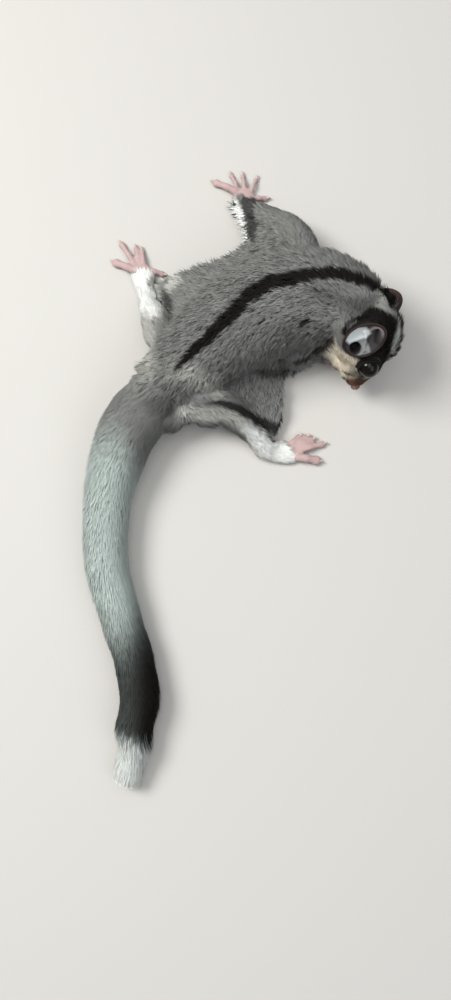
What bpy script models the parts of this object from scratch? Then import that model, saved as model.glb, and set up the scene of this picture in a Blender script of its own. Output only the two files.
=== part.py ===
# Sugar glider, life size, crouching on the floor with its tail laid out behind it.
# Lengths are in millimetres in the tables and turned into metres by MM.
# X runs to the right of the resting body, Y from the tail tip to the left hand, Z up.
# The origin is on the floor, under the middle of the animal's box.
import math

import bmesh
import bpy
import numpy as np
from mathutils import Matrix, Vector

MM = 0.001
GAP = 0.3
CLEAR = 0.36
UP = (0.0, 0.0, 1.0)

# Shift that brings the middle of the finished animal's box over the origin
CENTRING = (-0.5, -1.5, 0.0)

# Trunk stations from the rump to the neck: x, y, z, half width, half height
TRUNK = [
    (-35.0, 26.5, 13.0, 10.5, 10.0),
    (-27.4, 34.9, 15.5, 14.0, 13.0),
    (-15.3, 45.5, 18.0, 17.0, 15.5),
    (-0.2, 56.4, 19.8, 20.0, 17.3),
    (14.0, 63.9, 21.0, 20.5, 18.0),
    (27.5, 65.7, 21.5, 20.0, 17.5),
    (38.3, 63.1, 23.0, 18.0, 16.0),
    (46.0, 57.5, 25.0, 14.5, 14.0),
    (49.0, 50.0, 25.5, 12.0, 12.0),
]

# Neck running into the back of the skull, in the same columns
NAPE = [
    (33.0, 64.6, 22.4, 18.6, 16.6),
    (40.0, 62.0, 24.2, 17.4, 15.8),
    (46.0, 56.6, 26.0, 15.2, 14.2),
    (48.6, 49.0, 26.5, 12.5, 12.5),
]

# Left arm and leg, right arm and leg: x, y, z, radius at each joint
ARM_LEFT = [(28.3, 78, 20, 7.0), (21.5, 96.6, 12.5, 5.8), (5.5, 109.4, 4.8, 3.5), (2.0, 113.2, 3.4, 3.0)]
ARM_RIGHT = [(29.0, 56, 17, 8.4), (21.8, 46.0, 11.0, 6.2), (31.0, 47.6, 4.6, 3.5), (35.0, 48.4, 3.2, 3.0)]
LEG_LEFT = [(-22.5, 38, 15.5, 9.0), (-31.3, 53, 12.5, 7.6), (-37.2, 66.5, 6.0, 4.3), (-38.2, 70.5, 4.4, 3.8)]
LEG_RIGHT = [(-19.0, 29.5, 15, 9.0), (-6.5, 23.4, 12.5, 7.2), (6.6, 12.8, 6.2, 4.5), (9.6, 9.4, 4.4, 3.8)]

# Digits: root x, y, then tip x, y, then radius; each lies on the floor
HAND_LEFT = [
    (-2.0, 118.4, -10.9, 122.9, 1.45),
    (-0.8, 119.2, -3.9, 127.0, 0.95),
    (2.0, 119.4, 1.2, 126.8, 0.95),
    (4.8, 118.4, 7.4, 125.2, 0.9),
    (6.0, 115.2, 12.0, 115.8, 1.1),
]
HAND_RIGHT = [
    (37.6, 46.4, 42.4, 42.4, 1.1),
    (39.0, 46.8, 46.6, 44.6, 0.95),
    (39.8, 48.8, 47.4, 48.8, 0.95),
    (39.2, 50.8, 46.0, 53.4, 0.9),
    (36.6, 51.8, 39.0, 58.0, 1.3),
]
FOOT_LEFT = [
    (-43.8, 83.6, -52.9, 87.8, 1.6),
    (-43.8, 86.0, -50.2, 96.4, 1.2),
    (-42.0, 86.4, -43.9, 94.8, 1.05),
    (-40.2, 86.4, -41.3, 93.8, 1.05),
    (-38.4, 84.2, -31.4, 82.4, 1.15),
]
FOOT_RIGHT = [
    (24.0, 4.8, 32.4, 3.5, 1.7),
    (24.2, 7.6, 34.8, 10.8, 1.25),
    (23.2, 9.0, 30.6, 12.8, 1.1),
    (21.6, 9.6, 26.8, 14.2, 1.05),
    (19.4, 9.6, 22.8, 14.2, 1.15),
]

# Skin stretched from wrist to ankle: a row along the flank, then its free edge
MEMBRANE_LEFT = (
    [(18.0, 92.0, 12.0), (9.0, 80.0, 15.0), (-3.0, 70.0, 15.5), (-15.0, 61.0, 14.5), (-26.0, 57.0, 12.0)],
    [(-3.2, 113.0, 2.6), (3.4, 95.6, 5.6), (-7.4, 86.7, 7.2), (-18.2, 83.4, 6.8), (-35.0, 76.0, 3.4)],
)
MEMBRANE_RIGHT = (
    [(24.0, 50.0, 12.0), (11.0, 47.0, 14.0), (1.0, 41.0, 14.5), (-6.0, 33.0, 13.5), (-8.0, 26.0, 12.0)],
    [(26.5, 41.6, 3.2), (18.2, 37.9, 5.4), (17.4, 28.0, 6.2), (15.6, 18.0, 4.8), (9.0, 11.5, 4.2)],
)
MEMBRANE_THICK = 3.0

# Tail stations from the rump to the tip: x, y, radius out to the fur tips
TAIL = [
    (-31.0, 31.5, 12.3),
    (-39.4, 21.8, 12.2),
    (-46.4, 10.5, 11.6),
    (-52.4, -9.5, 9.6),
    (-53.4, -35.0, 8.8),
    (-48.4, -57.0, 8.2),
    (-43.6, -72.0, 8.0),
    (-40.2, -88.0, 8.0),
    (-40.2, -103.5, 7.2),
    (-42.6, -114.5, 6.0),
    (-44.0, -121.0, 4.4),
]
TAIL_RUMP_LIFT = 2.4
TAIL_NAMES = ["tail_base", "tail_middle", "tail_lower", "tail_tip"]
TAIL_CUTS = [0.27, 0.51, 0.75]

# Long coat of the tail: a core, then rings of flat tufts lying back over each other
TAIL_CORE = 0.48
LOCK_RINGS = [3, 4, 3, 2]
LOCKS_ROUND = 8
LOCK_LONG = 21.0
LOCK_ROOT = 0.8
LOCK_OVERHANG = 2.6
LOCK_PAST_END = 4.6
LOCK_RISE = 0.30
LOCK_STEEP_RISE = 0.12
LOCK_KEEP = 0.75
LOCK_SEED = 28

# Head: its middle, then the directions of nose, crown and right side of the face
HEAD_MIDDLE = (48.5, 45.7, 24.0)
NOSE_WAY = (0.114, -0.712, -0.693)
CROWN_WAY = (0.941, -0.146, 0.305)
HEAD_SCALE = 0.95
NECK_POINT = (45.4, 57.6, 25.0)
NECK_WAY = (0.6, -0.8, 0.0)
COLLAR_POINT = (31.5, 65.5, 22.0)
COLLAR_WAY = (0.97, -0.24, 0.0)
RUMP_POINT = (-31.8, 30.6, 13.0)
RUMP_WAY = (-0.655, -0.756, 0.0)
EYE_MIDDLE = (4.0, 3.5, 10.0)
EYE_RADIUS = 4.2
EYE_WAY = (0.42, 0.36, 0.83)
EAR_MIDDLES = {"left": (-11.6, 5.9, -15.0), "right": (-10.4, 4.2, 14.6)}
EAR_LONG_WAY = (-0.55, 0.78, 0.30)
EAR_OPEN_WAY = (-0.12, 0.30, 0.94)
EAR_SIZE = (8.6, 6.8, 5.6)
EAR_WALL = 0.9

# How many triangles each kind of piece keeps
FACES_TRUNK = 1500
FACES_HEAD = 1900
FACES_LIMB = 420
FACES_HAND = 470
FACES_FOOT = 520


def unit(way):
    v = np.array(way, float)
    return v / np.linalg.norm(v)


def spline(rows, count):
    # a smooth curve through rows of numbers, read at even steps
    pts = np.array(rows, float)
    ends = np.vstack([2 * pts[0] - pts[1], pts, 2 * pts[-1] - pts[-2]])
    out = []
    for t in np.linspace(0, len(pts) - 1, count):
        i = min(int(t), len(pts) - 2)
        u = t - i
        a, b, c, d = ends[i:i + 4]
        bend = (2 * a - 5 * b + 4 * c - d) * u * u + (3 * b - a - 3 * c + d) * u ** 3
        out.append(0.5 * (2 * b + (c - a) * u + bend))
    return np.array(out)


def frames(points, up=UP):
    # forward, side and upward directions at each point of a path
    forward = np.gradient(points, axis=0)
    forward /= np.linalg.norm(forward, axis=1)[:, None]
    side = np.cross(forward, np.array(up, float))
    side /= np.linalg.norm(side, axis=1)[:, None]
    upward = np.cross(side, forward)
    return forward, side, upward


def solid(name, points, faces):
    mesh = bpy.data.meshes.new(name)
    mesh.from_pydata([tuple(p) for p in points], [], faces)
    obj = bpy.data.objects.new(name, mesh)
    bpy.context.scene.collection.objects.link(obj)
    tidy(obj)
    return obj


def tidy(obj):
    # triangles only, every face pointing out
    bm = bmesh.new()
    bm.from_mesh(obj.data)
    bmesh.ops.triangulate(bm, faces=bm.faces)
    bmesh.ops.recalc_face_normals(bm, faces=bm.faces)
    bm.to_mesh(obj.data)
    bm.free()


def discard(obj):
    mesh = obj.data
    bpy.data.objects.remove(obj)
    bpy.data.meshes.remove(mesh)


def ring_loft(name, rings):
    # closed skin over rings of equal count, with a point at each end ring's middle
    count = len(rings[0])
    points = [p for ring in rings for p in ring]
    faces = []
    for r in range(len(rings) - 1):
        for k in range(count):
            n = (k + 1) % count
            faces.append((r * count + k, r * count + n, (r + 1) * count + n, (r + 1) * count + k))
    last = (len(rings) - 1) * count
    points.append(np.mean(rings[0], axis=0))
    points.append(np.mean(rings[-1], axis=0))
    for k in range(count):
        n = (k + 1) % count
        faces.append((len(points) - 2, n, k))
        faces.append((len(points) - 1, last + k, last + n))
    return solid(name, points, faces)


def tube(name, rows, steps, sides=20, up=UP, frame=None):
    # round-ended tube through rows of x, y, z, half width and half height
    table = [(*row[:4], row[-1]) for row in rows]
    path = spline(table, steps)
    forward, side, upward = frames(path[:, :3], up)
    rings = []
    caps = [(75, 0.259), (50, 0.643), (25, 0.906)]
    turns = np.linspace(0, 2 * math.pi, sides, endpoint=False)

    def ring(i, reach, shrink):
        middle = path[i, :3] + forward[i] * reach
        across = np.outer(np.cos(turns), side[i]) * path[i, 3] * shrink
        rise = np.outer(np.sin(turns), upward[i]) * path[i, 4] * shrink
        return middle + across + rise

    for angle, shrink in caps:
        reach = math.sin(math.radians(angle)) * min(path[0, 3], path[0, 4])
        rings.append(ring(0, -reach, shrink))
    for i in range(steps):
        rings.append(ring(i, 0.0, 1.0))
    for angle, shrink in reversed(caps):
        reach = math.sin(math.radians(angle)) * min(path[-1, 3], path[-1, 4])
        rings.append(ring(steps - 1, reach, shrink))
    obj = ring_loft(name, np.array(rings) * MM)
    if frame is not None:
        obj.data.transform(frame)
    return obj


def ball(name, middle, radii, ways=None, frame=None, fine=3):
    # ellipsoid with its three radii along the three given directions
    bm = bmesh.new()
    bmesh.ops.create_icosphere(bm, subdivisions=fine, radius=1.0)
    axes = np.identity(3) if ways is None else np.array(ways, float)
    for vert in bm.verts:
        local = np.array(vert.co) * np.array(radii)
        vert.co = Vector((np.array(middle) + local @ axes) * MM)
    mesh = bpy.data.meshes.new(name)
    bm.to_mesh(mesh)
    bm.free()
    obj = bpy.data.objects.new(name, mesh)
    bpy.context.scene.collection.objects.link(obj)
    if frame is not None:
        obj.data.transform(frame)
    tidy(obj)
    return obj


def settle(obj):
    # keep the mesh as its modifiers leave it
    graph = bpy.context.evaluated_depsgraph_get()
    mesh = bpy.data.meshes.new_from_object(obj.evaluated_get(graph))
    old = obj.data
    obj.modifiers.clear()
    obj.data = mesh
    bpy.data.meshes.remove(old)
    tidy(obj)
    return obj


def joined(name, parts):
    bm = bmesh.new()
    for part in parts:
        bm.from_mesh(part.data)
        discard(part)
    mesh = bpy.data.meshes.new(name)
    bm.to_mesh(mesh)
    bm.free()
    obj = bpy.data.objects.new(name, mesh)
    bpy.context.scene.collection.objects.link(obj)
    return obj


def thinned(obj, faces):
    ratio = faces / max(len(obj.data.polygons), 1)
    if ratio < 1.0:
        thin = obj.modifiers.new("Fewer faces", "DECIMATE")
        thin.ratio = ratio
        thin.use_collapse_triangulate = True
        settle(obj)
    return obj


def fused(name, parts, voxel, rounds, faces):
    # one smooth closed surface round all the parts
    obj = joined(name, parts)
    remesh = obj.modifiers.new("One surface", "REMESH")
    remesh.mode = "VOXEL"
    remesh.voxel_size = voxel * MM
    soft = obj.modifiers.new("Soften", "SMOOTH")
    soft.factor = 0.5
    soft.iterations = rounds
    settle(obj)
    largest(obj)
    return thinned(obj, faces)


def islands(bm):
    left = set(bm.verts)
    groups = []
    while left:
        todo = [left.pop()]
        group = set(todo)
        while todo:
            vert = todo.pop()
            for edge in vert.link_edges:
                other = edge.other_vert(vert)
                if other not in group:
                    group.add(other)
                    left.discard(other)
                    todo.append(other)
        groups.append(group)
    return groups


def largest(obj):
    bm = bmesh.new()
    bm.from_mesh(obj.data)
    groups = islands(bm)
    keep = max(groups, key=len)
    extra = [vert for vert in bm.verts if vert not in keep]
    bmesh.ops.delete(bm, geom=extra, context="VERTS")
    bm.to_mesh(obj.data)
    bm.free()
    return obj


def trim(obj, cutter, solver="EXACT"):
    # take the cutter's solid out of the object, then drop loose scraps
    whole = obj.data.copy()
    cut_with(obj, cutter, solver)
    if not obj.data.polygons:
        obj.data = whole
        cut_with(obj, cutter, "MANIFOLD")
    if solver == "MANIFOLD":
        return largest(obj)
    bm = bmesh.new()
    bm.from_mesh(obj.data)
    bmesh.ops.dissolve_degenerate(bm, dist=0.00001, edges=bm.edges)
    bmesh.ops.triangulate(bm, faces=bm.faces)
    bm.to_mesh(obj.data)
    bm.free()
    return largest(obj)


def cut_with(obj, cutter, solver):
    cut = obj.modifiers.new("Cut", "BOOLEAN")
    cut.operation = "DIFFERENCE"
    cut.solver = solver
    cut.object = cutter
    settle(obj)


def swollen(obj, reach):
    # copy of a piece grown evenly by a small distance, for cutting others clear of it
    other = bpy.data.objects.new(obj.name + "_grown", obj.data.copy())
    bpy.context.scene.collection.objects.link(other)
    bm = bmesh.new()
    bm.from_mesh(other.data)
    bm.normal_update()
    steepest = 1.6
    moves = []
    for vert in bm.verts:
        factor = min(vert.calc_shell_factor(), steepest)
        moves.append(vert.co + vert.normal * factor * reach * MM)
    for vert, place in zip(bm.verts, moves):
        vert.co = place
    bm.to_mesh(other.data)
    bm.free()
    return other


def clear_of(obj, others):
    for other in others:
        grown = swollen(other, CLEAR)
        trim(obj, grown)
        discard(grown)
    return obj


def block(name, middle, way, size, depth):
    # box with its depth along a direction, for planar cuts
    forward = Vector(way).normalized()
    turn = forward.to_track_quat("Z", "Y").to_matrix().to_4x4()
    bm = bmesh.new()
    bmesh.ops.create_cube(bm, size=1.0)
    bmesh.ops.scale(bm, verts=bm.verts, vec=(size * MM, size * MM, depth * MM))
    bmesh.ops.transform(bm, verts=bm.verts, matrix=Matrix.Translation(Vector(middle) * MM) @ turn)
    mesh = bpy.data.meshes.new(name)
    bm.to_mesh(mesh)
    bm.free()
    obj = bpy.data.objects.new(name, mesh)
    bpy.context.scene.collection.objects.link(obj)
    tidy(obj)
    return obj


def cut_beyond(obj, point, way, size=90.0):
    # remove everything past a plane, standing back half a gap from it
    middle = np.array(point) + unit(way) * (size / 2 - GAP / 2)
    cutter = block("cutter", middle, way, size, size)
    trim(obj, cutter)
    discard(cutter)
    return obj


def part_at(obj, point, way, size, first, second):
    # part one piece in two with a thin planar cut; first lies behind the plane
    cutter = block("cutter", point, way, size, GAP)
    cut_with(obj, cutter, "EXACT")
    discard(cutter)
    return split(obj, {first: -1.0, second: 1.0}, point, way)


def split(obj, names, point, way):
    bm = bmesh.new()
    bm.from_mesh(obj.data)
    forward = unit(way)
    groups = islands(bm)
    groups.sort(key=len, reverse=True)
    pieces = {}
    for name, sign in names.items():
        for group in groups[:2]:
            middle = np.mean([np.array(vert.co) for vert in group], axis=0) / MM
            if (middle - np.array(point)) @ forward * sign > 0:
                pieces[name] = piece_from(bm, group, name)
    bm.free()
    discard(obj)
    if len(pieces) != len(names):
        raise RuntimeError("a cut left " + ", ".join(names) + " in one piece")
    return [pieces[name] for name in names]


def piece_from(bm, group, name):
    copy = bm.copy()
    bm.verts.index_update()
    keep = {vert.index for vert in group}
    copy.verts.index_update()
    extra = [vert for vert in copy.verts if vert.index not in keep]
    bmesh.ops.delete(copy, geom=extra, context="VERTS")
    mesh = bpy.data.meshes.new(name)
    copy.to_mesh(mesh)
    copy.free()
    obj = bpy.data.objects.new(name, mesh)
    bpy.context.scene.collection.objects.link(obj)
    tidy(obj)
    return obj


def floor_cut(obj, solver="EXACT"):
    # flat soles at floor level
    size = 400.0
    cutter = block("floor", (0, 0, -size / 2), UP, size, size)
    trim(obj, cutter, solver)
    discard(cutter)
    return obj


def finish(obj, name, colour, roughness=0.8):
    obj.name = name
    obj.data.name = name
    material = bpy.data.materials.new(name)
    material.use_nodes = True
    shader = material.node_tree.nodes["Principled BSDF"]
    shader.inputs["Base Color"].default_value = (*colour, 1.0)
    shader.inputs["Roughness"].default_value = roughness
    shader.inputs["Metallic"].default_value = 0.0
    obj.data.materials.clear()
    obj.data.materials.append(material)
    obj.data.shade_smooth()
    return obj


def head_frame():
    # matrix from the head's own directions, nose first, then crown, then right cheek
    nose = unit(NOSE_WAY)
    crown = np.array(CROWN_WAY) - nose * (np.array(CROWN_WAY) @ nose)
    crown = unit(crown)
    right = np.cross(nose, crown)
    rows = [[nose[i] * HEAD_SCALE, crown[i] * HEAD_SCALE, right[i] * HEAD_SCALE] for i in range(3)]
    matrix = Matrix(rows).to_4x4()
    matrix.translation = Vector(HEAD_MIDDLE) * MM
    return matrix


def make_trunk():
    # the barrel of the body with the swell of shoulders and hips
    barrel = tube("barrel", TRUNK, 60, 36)
    left_shoulder = ball("left_shoulder", (27.0, 72.0, 19.0), (13.0, 12.0, 12.0))
    right_shoulder = ball("right_shoulder", (28.5, 54.5, 17.0), (12.0, 11.0, 11.5))
    rump = ball("rump", (-25.0, 37.0, 15.0), (13.0, 12.5, 11.5))
    parts = [barrel, left_shoulder, right_shoulder, rump]
    return fused("trunk", parts, 1.2, 10, FACES_TRUNK)


def make_head(frame):
    crown_up = (0.0, 1.0, 0.0)
    parts = [
        ball("cranium", (-5.0, 2.4, 0.0), (14.2, 13.2, 13.0), frame=frame),
        tube("muzzle", [(0, 0.2, 0, 10.8, 10.4), (7.5, -1.2, 0, 8.2, 8.6), (13.5, -3.2, 0, 5.0, 5.4),
                        (18.0, -4.8, 0, 3.0, 3.2)], 24, 24, crown_up, frame),
        tube("jaw", [(-4, -6.5, 0, 8.0, 4.5), (6, -8.0, 0, 6.0, 3.4), (14.5, -8.6, 0, 2.8, 2.0)],
             20, 20, crown_up, frame),
        ball("nose_pad", (19.6, -4.4, 0.0), (1.9, 1.7, 2.2), frame=frame),
    ]
    for side in (-1, 1):
        parts.append(ball("cheek", (-3.0, -4.2, 7.4 * side), (9.5, 7.0, 6.2), frame=frame))
        parts.append(ball("brow", (4.6, 3.4, 5.8 * side), (6.6, 5.8, 4.6), frame=frame))
        lip = [(18.6, -6.6, 0.6 * side, 1.1), (14.5, -7.2, 3.3 * side, 1.2), (9.0, -6.6, 6.2 * side, 1.2)]
        parts.append(tube("upper_lip", lip, 14, 10, crown_up, frame))
        under = [(16.4, -9.0, 0.4 * side, 0.9), (12.5, -9.4, 2.6 * side, 1.0), (8.0, -8.8, 5.2 * side, 1.0)]
        parts.append(tube("lower_lip", under, 14, 10, crown_up, frame))
        parts.append(make_lid_ring(frame, side))
    parts.append(tube("nape", NAPE, 24, 24))
    head = fused("head", parts, 0.6, 5, FACES_HEAD)
    for side in (-1, 1):
        middle = (EYE_MIDDLE[0], EYE_MIDDLE[1], EYE_MIDDLE[2] * side)
        reach = EYE_RADIUS + CLEAR
        socket = ball("socket", middle, (reach, reach, reach), frame=frame, fine=3)
        trim(head, socket)
        discard(socket)
        nostril = ball("nostril", (21.2, -4.5, 1.15 * side), (0.9, 0.55, 0.6), frame=frame, fine=1)
        trim(head, nostril)
        discard(nostril)
    line = [(8.6, -7.9, -7.2, 0.4), (13.2, -8.5, -4.4, 0.4), (17.6, -8.1, 0.0, 0.45),
            (13.2, -8.5, 4.4, 0.4), (8.6, -7.9, 7.2, 0.4)]
    mouth = tube("mouth", line, 22, 6, crown_up, frame)
    trim(head, mouth)
    discard(mouth)
    cut_beyond(head, NECK_POINT, -unit(NECK_WAY))
    return head


def make_lid_ring(frame, side):
    # rounded rim of the two lids round one eye
    way = unit((EYE_WAY[0], EYE_WAY[1], EYE_WAY[2] * side))
    across = unit(np.cross(way, (1.0, 0.0, 0.0)))
    along = np.cross(across, way)
    middle = np.array((EYE_MIDDLE[0], EYE_MIDDLE[1], EYE_MIDDLE[2] * side)) + way * 1.5
    rings = []
    for turn in np.linspace(0, 2 * math.pi, 25):
        out = along * math.cos(turn) + across * math.sin(turn)
        ring = []
        for roll in np.linspace(0, 2 * math.pi, 8, endpoint=False):
            ring.append(middle + out * (4.1 + 1.0 * math.cos(roll)) + way * 1.0 * math.sin(roll))
        rings.append(ring)
    obj = ring_loft("lids", np.array(rings) * MM)
    obj.data.transform(frame)
    tidy(obj)
    return obj


def make_eye(frame, side):
    middle = (EYE_MIDDLE[0], EYE_MIDDLE[1], EYE_MIDDLE[2] * side)
    return ball("eye", middle, (EYE_RADIUS,) * 3, frame=frame, fine=3)


def make_ear(frame, name, side, others):
    # thin oval cup, opening outward, with its wall lowest where it joins the cheek
    flip = np.array((1.0, 1.0, side))
    opening = unit(np.array(EAR_OPEN_WAY) * flip)
    long_way = unit(np.array(EAR_LONG_WAY) * flip)
    long_way = unit(long_way - opening * (long_way @ opening))
    wide_way = np.cross(opening, long_way)
    ways = (long_way, wide_way, opening)
    middle = np.array(EAR_MIDDLES[name])
    ear = ball("ear", middle, EAR_SIZE, ways, frame, 3)
    hollow_size = [size - EAR_WALL for size in EAR_SIZE]
    hollow_size[2] = EAR_SIZE[2]
    hollow = ball("hollow", middle + opening * 0.6, hollow_size, ways, frame, 3)
    trim(ear, hollow)
    discard(hollow)
    rim_way = unit(opening - 0.42 * long_way)
    rim = block("rim", middle + rim_way * (1.0 + 20.0), rim_way, 60, 40)
    rim.data.transform(frame)
    trim(ear, rim)
    discard(rim)
    clear_of(ear, others)
    return thinned(ear, 420)


def make_limb(name, rows, trunk, others=()):
    rows5 = [(*row[:3], row[3], row[3]) for row in rows]
    limb = fused(name, [tube(name, rows5, 30, 18)], 0.9, 4, FACES_LIMB)
    clear_of(limb, [trunk, *others])
    return limb


def make_paw(name, rows, palm_rows, faces, claw=1.9):
    # palm or sole, with digits, toe pads and hooked claws, flat underneath
    parts = [tube("palm", palm_rows, 20, 18)]
    for x0, y0, x1, y1, r in rows:
        start = np.array((x0, y0, r + 0.9))
        short = unit((x1 - x0, y1 - y0, 0)) * 1.0
        tip = np.array((x1, y1, r - 0.15)) - short
        middle = (start + tip) / 2 + np.array((0, 0, 0.9))
        way = unit((x1 - x0, y1 - y0, 0))
        parts.append(tube("digit", [(*start, r * 1.1), (*middle, r), (*tip, r * 1.05)], 14, 12))
        parts.append(ball("pad", tip - way * 0.4, (r * 1.3, r * 1.3, r * 1.05), fine=2))
        claw_rows = [(*(tip + way * 0.3 + np.array((0, 0, 0.5))), 0.6),
                     (*(tip + way * (r + 0.6) + np.array((0, 0, 0.45))), 0.5),
                     (*(tip + way * (r + claw) + np.array((0, 0, -0.35))), 0.3)]
        parts.append(tube("claw", claw_rows, 8, 8))
    paw = fused(name, parts, 0.38, 2, faces)
    return floor_cut(paw)


def make_membrane(name, lines, others):
    # sheet from the flank to its free edge, thicker where it meets the body
    count = 12
    inner = spline(lines[0], count)
    outer = spline(lines[1], count)
    steps = 5
    rows_top = []
    rows_low = []
    for s in range(steps):
        share = s / (steps - 1)
        line = inner + (outer - inner) * share
        half = MEMBRANE_THICK * (1.0 - 0.45 * share) / 2
        sag = 1.6 * math.sin(math.pi * share)
        rows_top.append(line + np.array((0, 0, half - sag)))
        rows_low.append(line - np.array((0, 0, half + sag)))
    points = np.vstack(rows_top + rows_low) * MM
    shift = steps * count
    faces = []
    for s in range(steps - 1):
        for k in range(count - 1):
            a = s * count + k
            faces.append((a, a + 1, a + count + 1))
            faces.append((a, a + count + 1, a + count))
            faces.append((shift + a, shift + a + count + 1, shift + a + 1))
            faces.append((shift + a, shift + a + count, shift + a + count + 1))
    border = [k for k in range(count)]
    border += [s * count + count - 1 for s in range(1, steps)]
    border += [(steps - 1) * count + k for k in range(count - 2, -1, -1)]
    border += [s * count for s in range(steps - 2, 0, -1)]
    for i, a in enumerate(border):
        b = border[(i + 1) % len(border)]
        faces.append((a, b, shift + b, shift + a))
    sheet = solid(name, points, faces)
    return clear_of(sheet, others)


def tail_path(count):
    # the tail lies on the floor and lifts only where it meets the rump
    rows = []
    for i, (x, y, r) in enumerate(TAIL):
        lift = TAIL_RUMP_LIFT * max(0.0, 1.0 - i / 2.0)
        rows.append((x, y, r - 0.25 + lift, r, r))
    return spline(rows, count)


def tail_line():
    # distance along the tail, then its middle, directions and radius at each step
    path = tail_path(401)
    middle = path[:, :3]
    forward, side, upward = frames(middle)
    steps = np.linalg.norm(np.diff(middle, axis=0), axis=1)
    run = np.concatenate([[0.0], np.cumsum(steps)])
    return run, middle, forward, side, upward, path[:, 3]


def tail_place(line, at):
    # middle, side, upward and radius at a distance along the tail, rounded past its end
    run, middle, forward, side, upward, radius = line
    i = int(np.argmin(np.abs(run - at)))
    past = at - run[i]
    rounding = min(max(past, 0.0) / LOCK_PAST_END, 0.95)
    return middle[i] + forward[i] * past, side[i], upward[i], radius[i] * math.sqrt(1.0 - rounding ** 2)


def make_lock(line, start, turn, drift, length, rise):
    # one flat tapered tuft that rises out of the core and lies back along the tail
    lie = [(rise, 0.76, 0.95, 1.3), (0.66, 0.88, 0.86, 1.1), (1.0, 0.97, 0.12, 0.25)]
    widest = 2 * math.pi / LOCKS_ROUND * 1.02
    rings = []
    for share, out, width, thick in [(0.0, 0.30, 0.35, 1.0), *lie]:
        middle, side, upward, radius = tail_place(line, start + share * length)
        angle = turn + drift * share ** 2
        spoke = side * math.cos(angle) + upward * math.sin(angle)
        across = upward * math.cos(angle) - side * math.sin(angle)
        centre = middle + spoke * radius * out
        half = across * radius * widest * width / 2
        rings.append([centre - half, centre + half, centre + spoke * thick])
    return ring_loft("lock", np.array(rings) * MM)


def make_locks(rng, line, begin, end, rings):
    # rings of tufts on one length of the tail, each ring over the gaps of the last
    locks = []
    spacing = (end - begin - LOCK_LONG * 0.8) / (rings - 1)
    for ring in range(rings):
        rise = LOCK_STEEP_RISE if ring == 0 else LOCK_RISE
        for k in range(LOCKS_ROUND):
            start = begin + ring * spacing + rng.uniform(0.0, 1.0)
            turn = (k + 0.5 * (ring % 2)) * 2 * math.pi / LOCKS_ROUND + rng.uniform(-0.07, 0.07)
            drift = rng.uniform(-0.22, 0.22)
            length = min(LOCK_LONG * rng.uniform(0.88, 1.1), end - rng.uniform(0.0, 1.6) - start)
            locks.append(make_lock(line, start, turn, drift, length, rise))
    return locks


def gathered(obj, parts):
    # join all the parts to the object as one closed outer surface
    group = bpy.data.collections.new("parts")
    for part in parts:
        group.objects.link(part)
    union = obj.modifiers.new("Join", "BOOLEAN")
    union.operation = "UNION"
    union.solver = "MANIFOLD"
    union.operand_type = "COLLECTION"
    union.collection = group
    settle(obj)
    for part in parts:
        discard(part)
    bpy.data.collections.remove(group)
    return largest(obj)


def make_tail():
    # the core in its lengths, then the coat of each length joined to it
    line = tail_line()
    run, middle, forward = line[:3]
    marks = [int(share * (len(run) - 1)) for share in TAIL_CUTS]
    core_rows = [(*row[:3], row[3] * TAIL_CORE, row[4] * TAIL_CORE) for row in tail_path(60)]
    rest = tube("tail", core_rows, 30, 10)
    cut_beyond(rest, RUMP_POINT, -unit(RUMP_WAY), 60.0)
    cores = []
    for name, i in zip(TAIL_NAMES, marks):
        way = unit((forward[i][0], forward[i][1], 0.0))
        core, rest = part_at(rest, middle[i], way, 40.0, name, "rest")
        cores.append(core)
    cores.append(rest)

    rng = np.random.default_rng(LOCK_SEED)
    rump = (np.array(RUMP_POINT) - middle[0]) @ unit(RUMP_WAY)
    begins = [rump] + [run[i] for i in marks]
    ends = [run[i] + LOCK_OVERHANG for i in marks] + [run[-1] + LOCK_PAST_END]
    pieces = []
    for core, begin, end, rings in zip(cores, begins, ends, LOCK_RINGS):
        piece = gathered(core, make_locks(rng, line, begin + LOCK_ROOT, end, rings))
        thinned(piece, LOCK_KEEP * len(piece.data.polygons))
        pieces.append(floor_cut(piece, "MANIFOLD"))
    return pieces


def joint_way(rows, i):
    before = unit(np.array(rows[i][:3]) - np.array(rows[i - 1][:3]))
    after = unit(np.array(rows[i + 1][:3]) - np.array(rows[i][:3]))
    return unit(before + after)


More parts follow.
